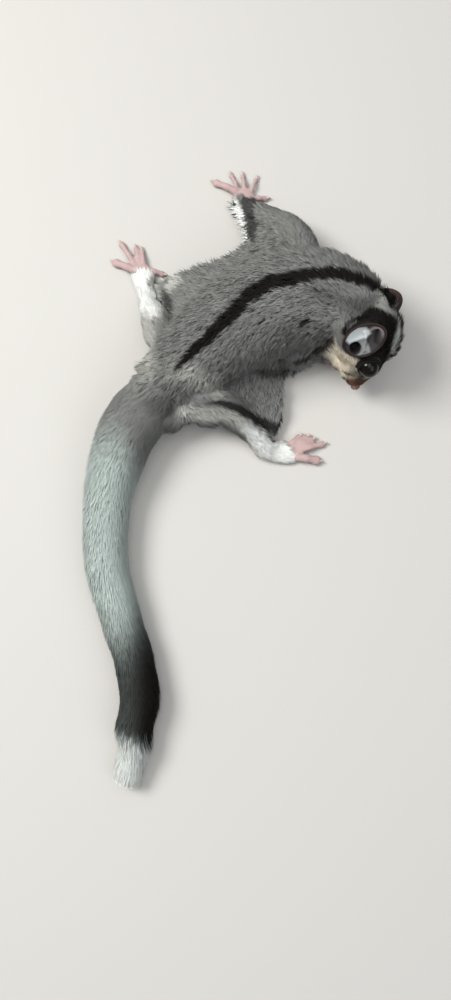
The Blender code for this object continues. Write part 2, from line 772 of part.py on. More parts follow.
def build():
    frame = head_frame()
    grey = (0.30, 0.31, 0.30)
    pale = (0.62, 0.64, 0.62)
    white = (0.80, 0.80, 0.77)
    pink = (0.78, 0.58, 0.55)
    dark = (0.05, 0.045, 0.045)

    trunk = make_trunk()
    head = make_head(frame)
    cut_beyond(trunk, RUMP_POINT, RUMP_WAY, 60.0)
    arms = {}
    arms["left"] = make_limb("arm_left", ARM_LEFT, trunk)
    arms["right"] = make_limb("arm_right", ARM_RIGHT, trunk)
    legs = {}
    legs["left"] = make_limb("leg_left", LEG_LEFT, trunk)
    outline = tube("tail_outline", tail_path(60), 60, 24)
    legs["right"] = make_limb("leg_right", LEG_RIGHT, trunk, [outline])
    clear_of(legs["left"], [outline])
    discard(outline)
    tail = make_tail()

    palms = {
        "left": [(9.0, 106.4, 6.2, 3.8, 3.7), (4.6, 110.4, 3.6, 3.5, 3.0), (2.2, 115.0, 1.9, 4.6, 2.4),
                 (1.6, 118.2, 1.5, 4.0, 1.8)],
        "right": [(26.8, 46.8, 7.2, 3.8, 3.8), (31.4, 47.7, 3.8, 3.5, 3.3), (35.4, 48.6, 1.9, 4.5, 2.4),
                  (37.8, 49.0, 1.5, 4.0, 1.8)],
    }
    soles = {
        "left": [(-35.8, 61.5, 8.4, 4.4, 4.6), (-37.6, 68.4, 4.2, 4.0, 4.4), (-38.8, 75.0, 2.6, 4.5, 3.2),
                 (-40.6, 81.2, 1.9, 4.9, 2.5), (-41.4, 85.0, 1.5, 3.8, 1.9)],
        "right": [(3.0, 15.6, 8.6, 4.6, 4.6), (8.8, 9.6, 4.2, 4.2, 4.4), (14.0, 7.4, 2.6, 4.6, 3.2),
                  (19.4, 6.8, 1.9, 4.7, 2.5), (22.8, 7.2, 1.5, 3.6, 1.9)],
    }
    digits = {"left": (HAND_LEFT, FOOT_LEFT), "right": (HAND_RIGHT, FOOT_RIGHT)}
    limbs_of = {"left": (ARM_LEFT, LEG_LEFT), "right": (ARM_RIGHT, LEG_RIGHT)}
    flesh = [trunk]
    paws = {}
    for side in ("left", "right"):
        hand_rows, foot_rows = digits[side]
        arm_rows, leg_rows = limbs_of[side]
        wrist = arm_rows[2][:3]
        ankle = leg_rows[2][:3]
        wrist_way = unit(np.array(arm_rows[3][:3]) - np.array(arm_rows[1][:3]))
        ankle_way = unit(np.array(leg_rows[3][:3]) - np.array(leg_rows[1][:3]))
        hand = make_paw("hand_" + side, hand_rows, palms[side], FACES_HAND, 1.6)
        cut_beyond(hand, wrist, -wrist_way, 30.0)
        foot = make_paw("foot_" + side, foot_rows, soles[side], FACES_FOOT, 1.4)
        cut_beyond(foot, ankle, -ankle_way, 30.0)
        arm = cut_beyond(arms[side], wrist, wrist_way, 30.0)
        leg = cut_beyond(legs[side], ankle, ankle_way, 30.0)
        clear_of(hand, [trunk, arm])
        clear_of(foot, [trunk, leg])
        flesh += [arm, leg, hand, foot]
        paws["hand_" + side] = hand
        paws["foot_" + side] = foot
    clear_of(head, [arms["right"]])

    sheets = {}
    sheets["left"] = make_membrane("membrane_left", MEMBRANE_LEFT, flesh)
    sheets["right"] = make_membrane("membrane_right", MEMBRANE_RIGHT, flesh)
    for name, paw in paws.items():
        finish(paw, name, pink, 0.55)
    for side, sheet in sheets.items():
        finish(sheet, "membrane_" + side, pale)

    cut_beyond(trunk, NECK_POINT, NECK_WAY)
    torso, neck = part_at(trunk, COLLAR_POINT, COLLAR_WAY, 46.0, "torso", "neck")
    for side, sign in (("left", -1), ("right", 1)):
        finish(make_ear(frame, side, sign, [head, neck]), "ear_" + side, pink, 0.5)
        finish(make_eye(frame, sign), "eye_" + side, dark, 0.08)
    finish(torso, "torso", grey)
    finish(neck, "neck", grey)
    for side in ("left", "right"):
        arm_rows, leg_rows = limbs_of[side]
        elbow = arm_rows[1][:3]
        upper, fore = part_at(arms[side], elbow, joint_way(arm_rows, 1), 18.0, "upper_arm", "forearm")
        finish(upper, "upper_arm_" + side, grey)
        finish(fore, "forearm_" + side, pale)
        knee = leg_rows[1][:3]
        thigh, shin = part_at(legs[side], knee, joint_way(leg_rows, 1), 24.0, "thigh", "shin")
        finish(thigh, "thigh_" + side, grey)
        finish(shin, "shin_" + side, white)
    for piece, name in zip(tail, TAIL_NAMES):
        finish(piece, name, pale)
    finish(head, "head", grey)
    for obj in bpy.data.objects:
        obj.data.transform(Matrix.Translation(Vector(CENTRING) * MM))


for old in list(bpy.data.objects):
    bpy.data.objects.remove(old)
build()
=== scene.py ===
import math

import bmesh
import bpy
import numpy as np
from mathutils import Matrix, Vector
from mathutils.kdtree import KDTree


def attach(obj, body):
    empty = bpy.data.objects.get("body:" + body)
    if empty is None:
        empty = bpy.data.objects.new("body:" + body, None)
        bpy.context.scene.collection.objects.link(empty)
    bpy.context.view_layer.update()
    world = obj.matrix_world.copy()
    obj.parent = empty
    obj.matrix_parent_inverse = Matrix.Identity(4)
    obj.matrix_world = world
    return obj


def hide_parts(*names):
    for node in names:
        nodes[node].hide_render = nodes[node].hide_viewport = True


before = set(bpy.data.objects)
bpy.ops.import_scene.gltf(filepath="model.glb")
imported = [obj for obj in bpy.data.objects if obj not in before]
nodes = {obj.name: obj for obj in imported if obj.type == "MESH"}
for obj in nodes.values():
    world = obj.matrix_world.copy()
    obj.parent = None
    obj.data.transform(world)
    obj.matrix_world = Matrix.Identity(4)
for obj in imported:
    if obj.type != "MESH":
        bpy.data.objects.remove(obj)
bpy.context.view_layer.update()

# Everything below is worked out in millimetres and turned into metres when a mesh is made
mm = 0.001
shift = np.array((-0.5, -1.5, 0.0))  # from the drawing board to the middle of the model's box


def unit(v):
    v = np.asarray(v, float)
    return v / np.maximum(np.linalg.norm(v, axis=-1, keepdims=True), 1e-9)


def ramp(x, low, high):
    t = np.clip((np.asarray(x, float) - low) / (high - low), 0, 1)
    return t * t * (3 - 2 * t)


def dots(a, b):
    return np.einsum("...i,...i->...", a, b)


def spline(rows, count):
    # smooth curve through rows of numbers, read at even steps
    pts = np.array(rows, float)
    ends = np.vstack([2 * pts[0] - pts[1], pts, 2 * pts[-1] - pts[-2]])
    out = []
    for t in np.linspace(0, len(pts) - 1, count):
        i = min(int(t), len(pts) - 2)
        u = t - i
        a, b, c, d = ends[i:i + 4]
        bend = (2 * a - 5 * b + 4 * c - d) * u * u + (3 * b - a - 3 * c + d) * u ** 3
        out.append(0.5 * (2 * b + (c - a) * u + bend))
    return np.array(out)


def ripple(p, size, seed):
    # smooth wandering number, about -1 to 1, with humps of that size
    draw = np.random.default_rng(seed)
    total = np.zeros(len(p))
    for _ in range(7):
        way = unit(draw.normal(size=3)) * draw.uniform(0.7, 1.5) * 2 * math.pi / size
        total += np.sin(p @ way + draw.uniform(0, 6.28))
    return total / 2.6


# ---- plan of the animal, as in the solids ----
headPlan = {
    "middle": np.array((48.5, 45.7, 24.0)) + shift,
    "nose": (0.114, -0.712, -0.693),
    "crown": (0.941, -0.146, 0.305),
    "scale": 0.95,
    "eye": (4.0, 3.5, 10.0),
    "eyeRadius": 4.2,
    "eyeWay": (0.42, 0.36, 0.83),
}
noseWay = unit(headPlan["nose"])
crownWay = np.array(headPlan["crown"])
crownWay = unit(crownWay - noseWay * (crownWay @ noseWay))
headAxes = np.array([noseWay, crownWay, np.cross(noseWay, crownWay)])


def toHead(p):
    return (np.asarray(p, float) - headPlan["middle"]) @ headAxes.T / headPlan["scale"]


def fromHead(p):
    return headPlan["middle"] + np.asarray(p, float) @ headAxes * headPlan["scale"]


bodyPlan = {
    "spine": [(54.5, 48.0, 26.0, 11.0), (46.0, 57.5, 25.0, 14.2), (38.3, 63.1, 23.0, 17.0), (27.5, 65.7, 21.5, 19.0),
              (14.0, 63.9, 21.0, 19.3), (-0.2, 56.4, 19.8, 18.7), (-15.3, 45.5, 18.0, 16.3),
              (-27.4, 34.9, 15.5, 13.5), (-35.0, 26.5, 13.0, 10.2)],
    "tail": [(-31.0, 31.5, 12.3), (-39.4, 21.8, 12.2), (-46.4, 10.5, 11.6), (-52.4, -9.5, 9.6), (-53.4, -35.0, 8.8),
             (-48.4, -57.0, 8.2), (-43.6, -72.0, 8.0), (-40.2, -88.0, 8.0), (-40.2, -103.5, 7.2),
             (-42.6, -114.5, 6.0), (-44.0, -121.0, 4.4)],
    "tailCore": 0.48,
    "tailLift": 2.4,
    "armLeft": [(28.3, 78, 20, 7.0), (21.5, 96.6, 12.5, 5.8), (5.5, 109.4, 4.8, 3.5), (2.0, 113.2, 3.4, 3.0)],
    "armRight": [(29.0, 56, 17, 8.4), (21.8, 46.0, 11.0, 6.2), (31.0, 47.6, 4.6, 3.5), (35.0, 48.4, 3.2, 3.0)],
    "legLeft": [(-22.5, 38, 15.5, 9.0), (-31.3, 53, 12.5, 7.6), (-37.2, 66.5, 6.0, 4.3), (-38.2, 70.5, 4.4, 3.8)],
    "legRight": [(-19.0, 29.5, 15, 9.0), (-6.5, 23.4, 12.5, 7.2), (6.6, 12.8, 6.2, 4.5), (9.6, 9.4, 4.4, 3.8)],
    "membraneLeft": (
        [(18.0, 92.0, 12.0), (9.0, 80.0, 15.0), (-3.0, 70.0, 15.5), (-15.0, 61.0, 14.5), (-26.0, 57.0, 12.0)],
        [(-3.2, 113.0, 2.6), (3.4, 95.6, 5.6), (-7.4, 86.7, 7.2), (-18.2, 83.4, 6.8), (-35.0, 76.0, 3.4)]),
    "membraneRight": (
        [(24.0, 50.0, 12.0), (11.0, 47.0, 14.0), (1.0, 41.0, 14.5), (-6.0, 33.0, 13.5), (-8.0, 26.0, 12.0)],
        [(26.5, 41.6, 3.2), (18.2, 37.9, 5.4), (17.4, 28.0, 6.2), (15.6, 18.0, 4.8), (9.0, 11.5, 4.2)]),
}
pawPlan = {
    "handLeft": {
        "palm": [(9.0, 106.4, 6.2, 3.8, 3.7), (4.6, 110.4, 3.6, 3.5, 3.0), (2.2, 115.0, 1.9, 4.6, 2.4),
                 (1.6, 118.2, 1.5, 4.0, 1.8)],
        "digits": [(-2.0, 118.4, -10.9, 122.9, 1.45), (-0.8, 119.2, -3.9, 127.0, 0.95), (2.0, 119.4, 1.2, 126.8, 0.95),
                   (4.8, 118.4, 7.4, 125.2, 0.9), (6.0, 115.2, 12.0, 115.8, 1.1)],
        "claw": 1.1, "bareAt": (2.4, 110.4), "bareWay": (0.49, 0.87)},
    "handRight": {
        "palm": [(26.8, 46.8, 7.2, 3.8, 3.8), (31.4, 47.7, 3.8, 3.5, 3.3), (35.4, 48.6, 1.9, 4.5, 2.4),
                 (37.8, 49.0, 1.5, 4.0, 1.8)],
        "digits": [(37.6, 46.4, 42.4, 42.4, 1.1), (39.0, 46.8, 46.6, 44.6, 0.95), (39.8, 48.8, 47.4, 48.8, 0.95),
                   (39.2, 50.8, 46.0, 53.4, 0.9), (36.6, 51.8, 39.0, 58.0, 1.3)],
        "claw": 1.1, "bareAt": (32.4, 46.6), "bareWay": (1.0, 0.2)},
    "footLeft": {
        "palm": [(-35.8, 61.5, 8.4, 4.4, 4.6), (-37.6, 68.4, 4.2, 4.0, 4.4), (-38.8, 75.0, 2.6, 4.5, 3.2),
                 (-40.6, 81.2, 1.9, 4.9, 2.5), (-41.4, 85.0, 1.5, 3.8, 1.9)],
        "digits": [(-43.8, 83.6, -52.9, 87.8, 1.6), (-43.8, 86.0, -50.2, 96.4, 1.2), (-42.0, 86.4, -43.9, 94.8, 1.05),
                   (-40.2, 86.4, -41.3, 93.8, 1.05), (-38.4, 84.2, -31.4, 82.4, 1.15)],
        "claw": 1.0, "bareAt": (-40.5, 80.8), "bareWay": (0.0, 1.0)},
    "footRight": {
        "palm": [(3.0, 15.6, 8.6, 4.6, 4.6), (8.8, 9.6, 4.2, 4.2, 4.4), (14.0, 7.4, 2.6, 4.6, 3.2),
                 (19.4, 6.8, 1.9, 4.7, 2.5), (22.8, 7.2, 1.5, 3.6, 1.9)],
        "digits": [(24.0, 4.8, 32.4, 3.5, 1.7), (24.2, 7.6, 34.8, 10.8, 1.25), (23.2, 9.0, 30.6, 12.8, 1.1),
                   (22.0, 9.8, 28.2, 14.0, 1.05), (20.0, 9.8, 25.0, 14.2, 1.15)],
        "claw": 1.0, "bareAt": (19.6, 4.6), "bareWay": (0.8, 0.6)},
}


def moved(rows):
    # rows of x, y, z and more, brought from the drawing board to the model
    rows = np.array(rows, float)
    rows[:, :3] += shift
    return rows


def tailRows(count):
    rows = []
    for i, (x, y, r) in enumerate(bodyPlan["tail"]):
        lift = bodyPlan["tailLift"] * max(0.0, 1.0 - i / 2.0)
        rows.append((x, y, r - 0.25 + lift, r))
    return spline(moved(rows), count)


# ---- parts of the body, each a run of points that carries the lie of its coat ----
def runPart(rows, backward, kind="round"):
    p = rows[:, :3]
    along = unit(np.gradient(p, axis=0))
    side = unit(np.cross(along, (0, 0, 1.0)))
    steps = np.linalg.norm(np.diff(p, axis=0), axis=1)
    return {"kind": kind, "points": p, "radius": rows[:, 3], "lie": along * (-1 if backward else 1), "along": along,
            "side": side, "up": np.cross(side, along), "run": np.concatenate([[0], np.cumsum(steps)])}


def sheetPart(rowsInner, rowsOuter):
    inner = spline(moved(rowsInner), 16)
    outer = spline(moved(rowsOuter), 16)
    shares = np.linspace(0.12, 1.0, 6)
    p = np.vstack([inner + (outer - inner) * s for s in shares])
    out = unit(np.vstack([outer - inner] * len(shares)))
    back = unit(np.gradient(inner, axis=0))
    lie = unit(out * 0.75 + np.vstack([back] * len(shares)) * 0.75)
    p[:, 2] -= np.repeat(np.sin(math.pi * shares) * 1.6, 16)
    return {"kind": "flat", "points": p, "radius": np.full(len(p), 3.4), "lie": lie}


def pawPart(name):
    plan = pawPlan[name]
    palm = spline(moved(plan["palm"]), 12)[4:]
    pts, rad, lie = [palm[:, :3]], [palm[:, 3]], [unit(np.gradient(palm[:, :3], axis=0))]
    for x0, y0, x1, y1, r in plan["digits"]:
        t = np.linspace(0, 1, 8)[:, None]
        a = np.array((x0, y0, r)) + shift
        b = np.array((x1, y1, r)) + shift
        pts.append(a + (b - a) * t)
        rad.append(np.full(8, r * 1.6))
        lie.append(np.tile(unit(b - a), (8, 1)))
    return {"kind": "flat", "points": np.vstack(pts), "radius": np.concatenate(rad), "lie": np.vstack(lie)}


headRows = [(-13, 3.2, 0, 11.0), (-6, 2.2, 0, 13.2), (0, 0.6, 0, 11.8), (6, -1.4, 0, 9.6), (11, -3.2, 0, 7.2),
            (15.5, -4.6, 0, 5.0), (19.5, -5.2, 0, 3.6)]
headRun = spline(headRows, 26)
headRun[:, :3] = fromHead(headRun[:, :3])
headRun[:, 3] *= headPlan["scale"]
parts = {
    "trunk": runPart(spline(moved(bodyPlan["spine"]), 60), False),
    "head": runPart(headRun, True),
    "tail": runPart(tailRows(120), False),
}
for name in ("armLeft", "armRight", "legLeft", "legRight"):
    parts[name] = runPart(spline(moved(bodyPlan[name]), 24), False)
for name in ("membraneLeft", "membraneRight"):
    parts[name] = sheetPart(*bodyPlan[name])
for name in pawPlan:
    parts[name] = pawPart(name)
partNames = list(parts)


def nearest(part, p):
    # for each place, the closest point of that part and how far off it is in radii
    best = np.full(len(p), 1e9)
    at = np.zeros(len(p), int)
    for i, (c, r) in enumerate(zip(part["points"], part["radius"])):
        far = np.sqrt(((p - c) ** 2).sum(1)) / r
        closer = far < best
        best[closer] = far[closer]
        at[closer] = i
    return best, at


def shares(p):
    # how much each place belongs to each part, and the nearest point in each
    weight = np.zeros((len(p), len(partNames)))
    places = []
    for k, name in enumerate(partNames):
        far, at = nearest(parts[name], p)
        weight[:, k] = np.maximum(far, 0.25) ** -9.0
        places.append(at)
    weight /= weight.sum(1, keepdims=True)
    return weight, places


def lieAt(p, n, weight, places):
    # way the coat lies at each place, along the skin
    way = np.zeros_like(p)
    for k, name in enumerate(partNames):
        way += parts[name]["lie"][places[k]] * weight[:, k:k + 1]
    trunk = weight[:, partNames.index("trunk")]
    droop = np.zeros_like(p)
    droop[:, 2] = -0.55 * trunk * ramp(1 - np.abs(n[:, 2]), 0.1, 0.9)
    way = way + droop
    way -= n * dots(way, n)[:, None]
    return unit(way)


# coat of each part: depth over the skin, length and width of a tuft, tufts to a square millimetre and size of
# a clump, then how far tips pull together, how unevenly they stand, how much they differ and how soft they look
coatPlan = {
    "trunk": {"depth": 3.0, "long": 4.7, "wide": 0.44, "thick": 6.9, "clump": 1.0, "pull": 0.5, "spread": 0.24,
              "swing": 0.34, "vary": 0.50, "soft": 0.45},
    "head": {"depth": 1.7, "long": 3.2, "wide": 0.36, "thick": 10.5, "clump": 0.8, "pull": 0.25, "spread": 0.12,
             "swing": 0.12, "vary": 0.28, "soft": 0.75},
    "armLeft": {"depth": 1.5, "long": 4.0, "wide": 0.42, "thick": 7.0, "clump": 0.9, "pull": 0.4, "spread": 0.2,
                "swing": 0.25, "vary": 0.4, "soft": 0.6},
    "legLeft": {"depth": 1.6, "long": 4.2, "wide": 0.42, "thick": 7.0, "clump": 0.9, "pull": 0.3, "spread": 0.16,
                "swing": 0.2, "vary": 0.3, "soft": 0.7},
    "membraneLeft": {"depth": 0.75, "long": 3.6, "wide": 0.42, "thick": 5.0, "clump": 0.9, "pull": 0.4, "spread": 0.2,
                     "swing": 0.3, "vary": 0.45, "soft": 0.5},
    "tail": {"depth": 4.2, "long": 9.5, "wide": 0.66, "thick": 6.2, "clump": 1.6, "pull": 0.0, "spread": 0.015,
             "swing": 0.02, "vary": 0.06, "soft": 1.0},
    "handLeft": {"depth": 0.2, "long": 2.2, "wide": 0.32, "thick": 9.0, "clump": 0.7, "pull": 0.2, "spread": 0.1,
                 "swing": 0.1, "vary": 0.2, "soft": 0.7},
    "footLeft": {"depth": 0.5, "long": 2.8, "wide": 0.34, "thick": 10.0, "clump": 0.7, "pull": 0.2, "spread": 0.1,
                 "swing": 0.1, "vary": 0.2, "soft": 0.8},
}
for name in ("arm", "leg", "membrane", "hand", "foot"):
    coatPlan[name + "Right"] = coatPlan[name + "Left"]


def blended(what, weight):
    return sum(coatPlan[name][what] * weight[:, k] for k, name in enumerate(partNames))


def pathDistance(p, line):
    # distance from each place to a path of x, y, z and half width, and the half width there
    line = np.asarray(line, float)
    best = np.full(len(p), 1e9)
    gap = np.zeros_like(p)
    half = np.zeros(len(p))
    for a, b in zip(line[:-1], line[1:]):
        ab = b[:3] - a[:3]
        t = np.clip((p - a[:3]) @ ab / (ab @ ab), 0, 1)
        d = p - (a[:3] + t[:, None] * ab)
        far = (d ** 2).sum(1)
        closer = far < best
        best[closer] = far[closer]
        gap[closer] = d[closer]
        half[closer] = (a[3] + (b[3] - a[3]) * t)[closer]
    return gap, half


def stroke(p, n, line, soft=0.7, deep=9.0):
    # mark painted along a path on the surface, whatever the depth of the coat
    gap, half = pathDistance(p, line)
    inward = dots(gap, n)
    flat = np.linalg.norm(gap - n * inward[:, None], axis=1)
    edge = 1 - ramp(flat - half, -soft, soft)
    return edge * (1 - ramp(np.abs(inward), deep * 0.7, deep))


def inside(x, y, outline, soft):
    # soft mask of a closed outline drawn in two directions
    outline = np.asarray(outline, float)
    best = np.full(len(x), 1e9)
    within = np.zeros(len(x), bool)
    for (x0, y0), (x1, y1) in zip(outline, np.roll(outline, -1, axis=0)):
        dx, dy = x1 - x0, y1 - y0
        t = np.clip(((x - x0) * dx + (y - y0) * dy) / (dx * dx + dy * dy), 0, 1)
        best = np.minimum(best, (x - x0 - t * dx) ** 2 + (y - y0 - t * dy) ** 2)
        crosses = ((y0 > y) != (y1 > y)) & (x < (x1 - x0) * (y - y0) / (dy if dy else 1e-9) + x0)
        within ^= crosses
    far = np.sqrt(best) * np.where(within, 1, -1)
    return ramp(far, -soft, soft)


# ---- markings, shared by the skin and the coat ----
markPlan = {
    "backStripe": [(-26.5, 32.0, 29.5, 0.5), (-23.9, 34.4, 30.2, 1.1), (-19.3, 39.3, 32.3, 1.7), (-14.3, 43.5, 33.9, 2.4),
                   (-6.7, 50.7, 35.9, 2.9), (1.6, 59.1, 37.6, 3.2), (5.8, 62.4, 38.1, 3.3), (10.3, 64.6, 38.6, 3.3),
                   (18.6, 66.4, 38.8, 3.0), (26.9, 68.1, 38.5, 2.8), (35.7, 68.8, 37.8, 2.9), (44.1, 66.7, 37.0, 3.0),
                   (52.8, 63.8, 34.3, 2.6), (57.3, 60.8, 32.7, 2.4)],
    "crownStripe": [(-21.4, 5.2, -7.6, 2.4), (-17.6, 9.4, -6.8, 2.6), (-14.2, 11.8, -4.2, 2.9), (-10.0, 14.0, -1.3, 3.1),
                    (-6.2, 15.2, -0.4, 2.9), (-3.8, 15.1, 0.3, 2.7), (-0.2, 13.9, 1.2, 2.4), (3.0, 12.2, 1.8, 1.9)],
    "faceMask": [(-9.8, -6.6), (-12.2, -4.8), (-14.4, -2.4), (-16.9, 0.6), (-17.8, 4.2), (-17.1, 8.2), (-14.8, 10.9),
                 (-11.9, 11.9), (-8.0, 11.3), (-3.6, 11.0), (1.0, 10.3), (4.8, 8.6), (8.4, 6.4), (9.6, 3.6), (8.8, 0.8),
                 (3.8, 0.2), (0.5, 1.0), (-1.6, -0.8), (-3.4, -3.0), (-6.5, -4.8)],
    "cheek": [(-9.5, -15.0), (-7.0, -11.5), (-5.2, -7.8), (-3.8, -5.2), (-2.4, -3.4), (-1.0, -1.4), (0.5, 0.8), (3.8, 0.2),
              (8.2, 0.6), (10.2, -1.0), (12.8, -3.0), (15.5, -4.6), (19, -8), (18, -14), (6, -22), (-6, -20)],
    "crownBand": [(-19.4, 7.6, -1.6, 2.2), (-16.4, 10.2, -1.4, 2.2), (-13.4, 12.6, 1.0, 2.2), (-8.9, 14.0, 4.4, 2.1),
                  (-4.0, 13.7, 5.7, 2.1), (0.0, 12.6, 6.2, 1.8), (2.6, 11.2, 6.4, 1.3), (5.1, 9.6, 6.4, 0.9),
                  (9.0, 5.6, 5.2, 1.0), (13.0, 1.0, 4.2, 1.1)],
    "napeShade": [(40.0, 56.5, 38.4, 3.0), (44.0, 54.5, 38.8, 4.4), (49.0, 53.0, 39.5, 3.4)],
    "shoulderShade": [(28.0, 61.0, 38.6, 3.0), (35.0, 59.0, 38.4, 4.0)],
    "armBandLeft": [(2.4, 112.0, 4.6, 2.4), (3.2, 108.6, 5.6, 3.1), (3.6, 104.5, 6.2, 2.6), (4.0, 100.5, 6.6, 2.2),
                    (4.4, 96.0, 7.2, 1.6), (5.2, 92.0, 9.0, 0.9)],
    "fringeLeft": [(-4.4, 114.4, 2.2, 1.5), (-3.6, 112.4, 2.4, 1.9), (-2.3, 109.0, 2.8, 2.1), (-0.9, 104.0, 3.6, 1.9),
                   (0.3, 99.0, 4.4, 1.6), (1.1, 94.0, 5.6, 1.2)],
    "footEdge": [(-37.4, 79.4, 3.2, 1.4), (-36.6, 75.6, 4.2, 1.6), (-35.6, 71.5, 5.0, 1.6), (-34.4, 67.5, 6.4, 1.4)],
    # right leg: a band of darker fur, with painted shade where the flap folds onto the leg
    "legBandAndFoldShadeRight": [(-14.5, 21.9, 21.3, 0.4), (-8.6, 22.2, 20.6, 1.2), (-2.4, 21.0, 17.9, 1.9), (2.1, 19.3, 14.7, 2.3),
                     (6.6, 17.4, 10.0, 2.5), (11.0, 15.8, 6.2, 2.5), (15.0, 14.6, 5.0, 2.0)],
    # right flap edge, with painted shade in its fold against the arm
    "flapEdgeAndFoldShadeRight": [(3.2, 36.0, 18.0, 0.8), (8.3, 36.2, 11.0, 1.4), (14.0, 36.6, 8.2, 1.9), (17.6, 37.0, 6.0, 1.8)],
    # painted shadow under the right arm along the chest's lower edge, over darker throat fur
    "chestShadeAndFurRight": [(22.0, 40.4, 14.0, 1.4), (27.0, 42.6, 12.0, 2.0), (31.0, 45.4, 16.0, 2.0), (33.0, 48.0, 20.0, 1.4)],
    "flankSpot": [(22.6, 49.4, 33.4, 1.5), (24.4, 50.8, 34.4, 1.6)],
    "flankShade": [(16.0, 48.0, 32.0, 2.4), (20.0, 45.0, 30.0, 2.6)],
    # left ankle: painted shade in the fold between thigh and flap, over a stripe of darker fur
    "ankleStripeAndFoldShade": [(-32.2, 72.4, 5.5, 1.1), (-31.0, 69.4, 6.2, 1.8), (-29.8, 66.2, 7.5, 1.8), (-29.2, 62.8, 9.0, 1.0)],
    "anklePale": [(-30.3, 73.2, 5.9, 1.8), (-28.6, 75.4, 6.0, 2.2), (-26.1, 76.8, 6.5, 1.8)],
    "thighPale": [(-34.5, 62.0, 12.0, 3.4), (-38.0, 54.0, 14.0, 3.8), (-38.0, 46.0, 17.0, 4.4), (-36.0, 38.0, 22.0, 4.4),
                  (-36.4, 33.0, 24.0, 3.4)],
    # painted shade in the crease where the left arm meets the body
    "armpitShade": [(3.2, 89.0, 8.0, 0.4), (5.4, 88.6, 9.2, 0.8), (7.6, 88.2, 10.0, 0.4)],
    # paler rump fur, with a painted sheen over the right hip
    "rumpPaleAndSheen": [(-26.0, 33.0, 29.0, 2.0), (-20.9, 32.2, 29.5, 3.4), (-15.5, 29.0, 26.5, 3.8), (-10.0, 28.0, 22.0, 2.6)],
    "tailRootDark": [(-37.0, 20.5, 24.0, 2.4), (-33.4, 20.4, 23.5, 3.4), (-29.0, 20.0, 20.0, 2.6)],
    "footLeftWhite": [(-34.6, 58.0, 14.0, 1.6), (-36.6, 63.5, 10.0, 3.4), (-38.4, 69.5, 6.6, 4.6), (-41.0, 76.0, 4.6, 5.2),
                      (-42.0, 80.0, 3.8, 5.0)],
    "legRightPale": [(-26.0, 19.0, 18.0, 2.4), (-15.0, 17.6, 18.6, 3.2), (-8.7, 17.4, 18.8, 3.2), (-2.7, 16.2, 17.1, 3.0),
                     (2.1, 13.6, 14.2, 3.0), (5.3, 10.6, 11.5, 3.0)],
    "footRightWhite": [(2.6, 12.4, 13.0, 2.2), (5.8, 9.4, 10.6, 4.0), (9.6, 6.0, 7.6, 5.0), (15.0, 4.6, 5.0, 4.8),
                       (20.0, 3.6, 4.0, 4.0)],
    "tailDark": (-48.0, -79.0),   # where the tail starts to darken and where it is blackest, along y
    "tailTip": (-108.5, -114.0),
}


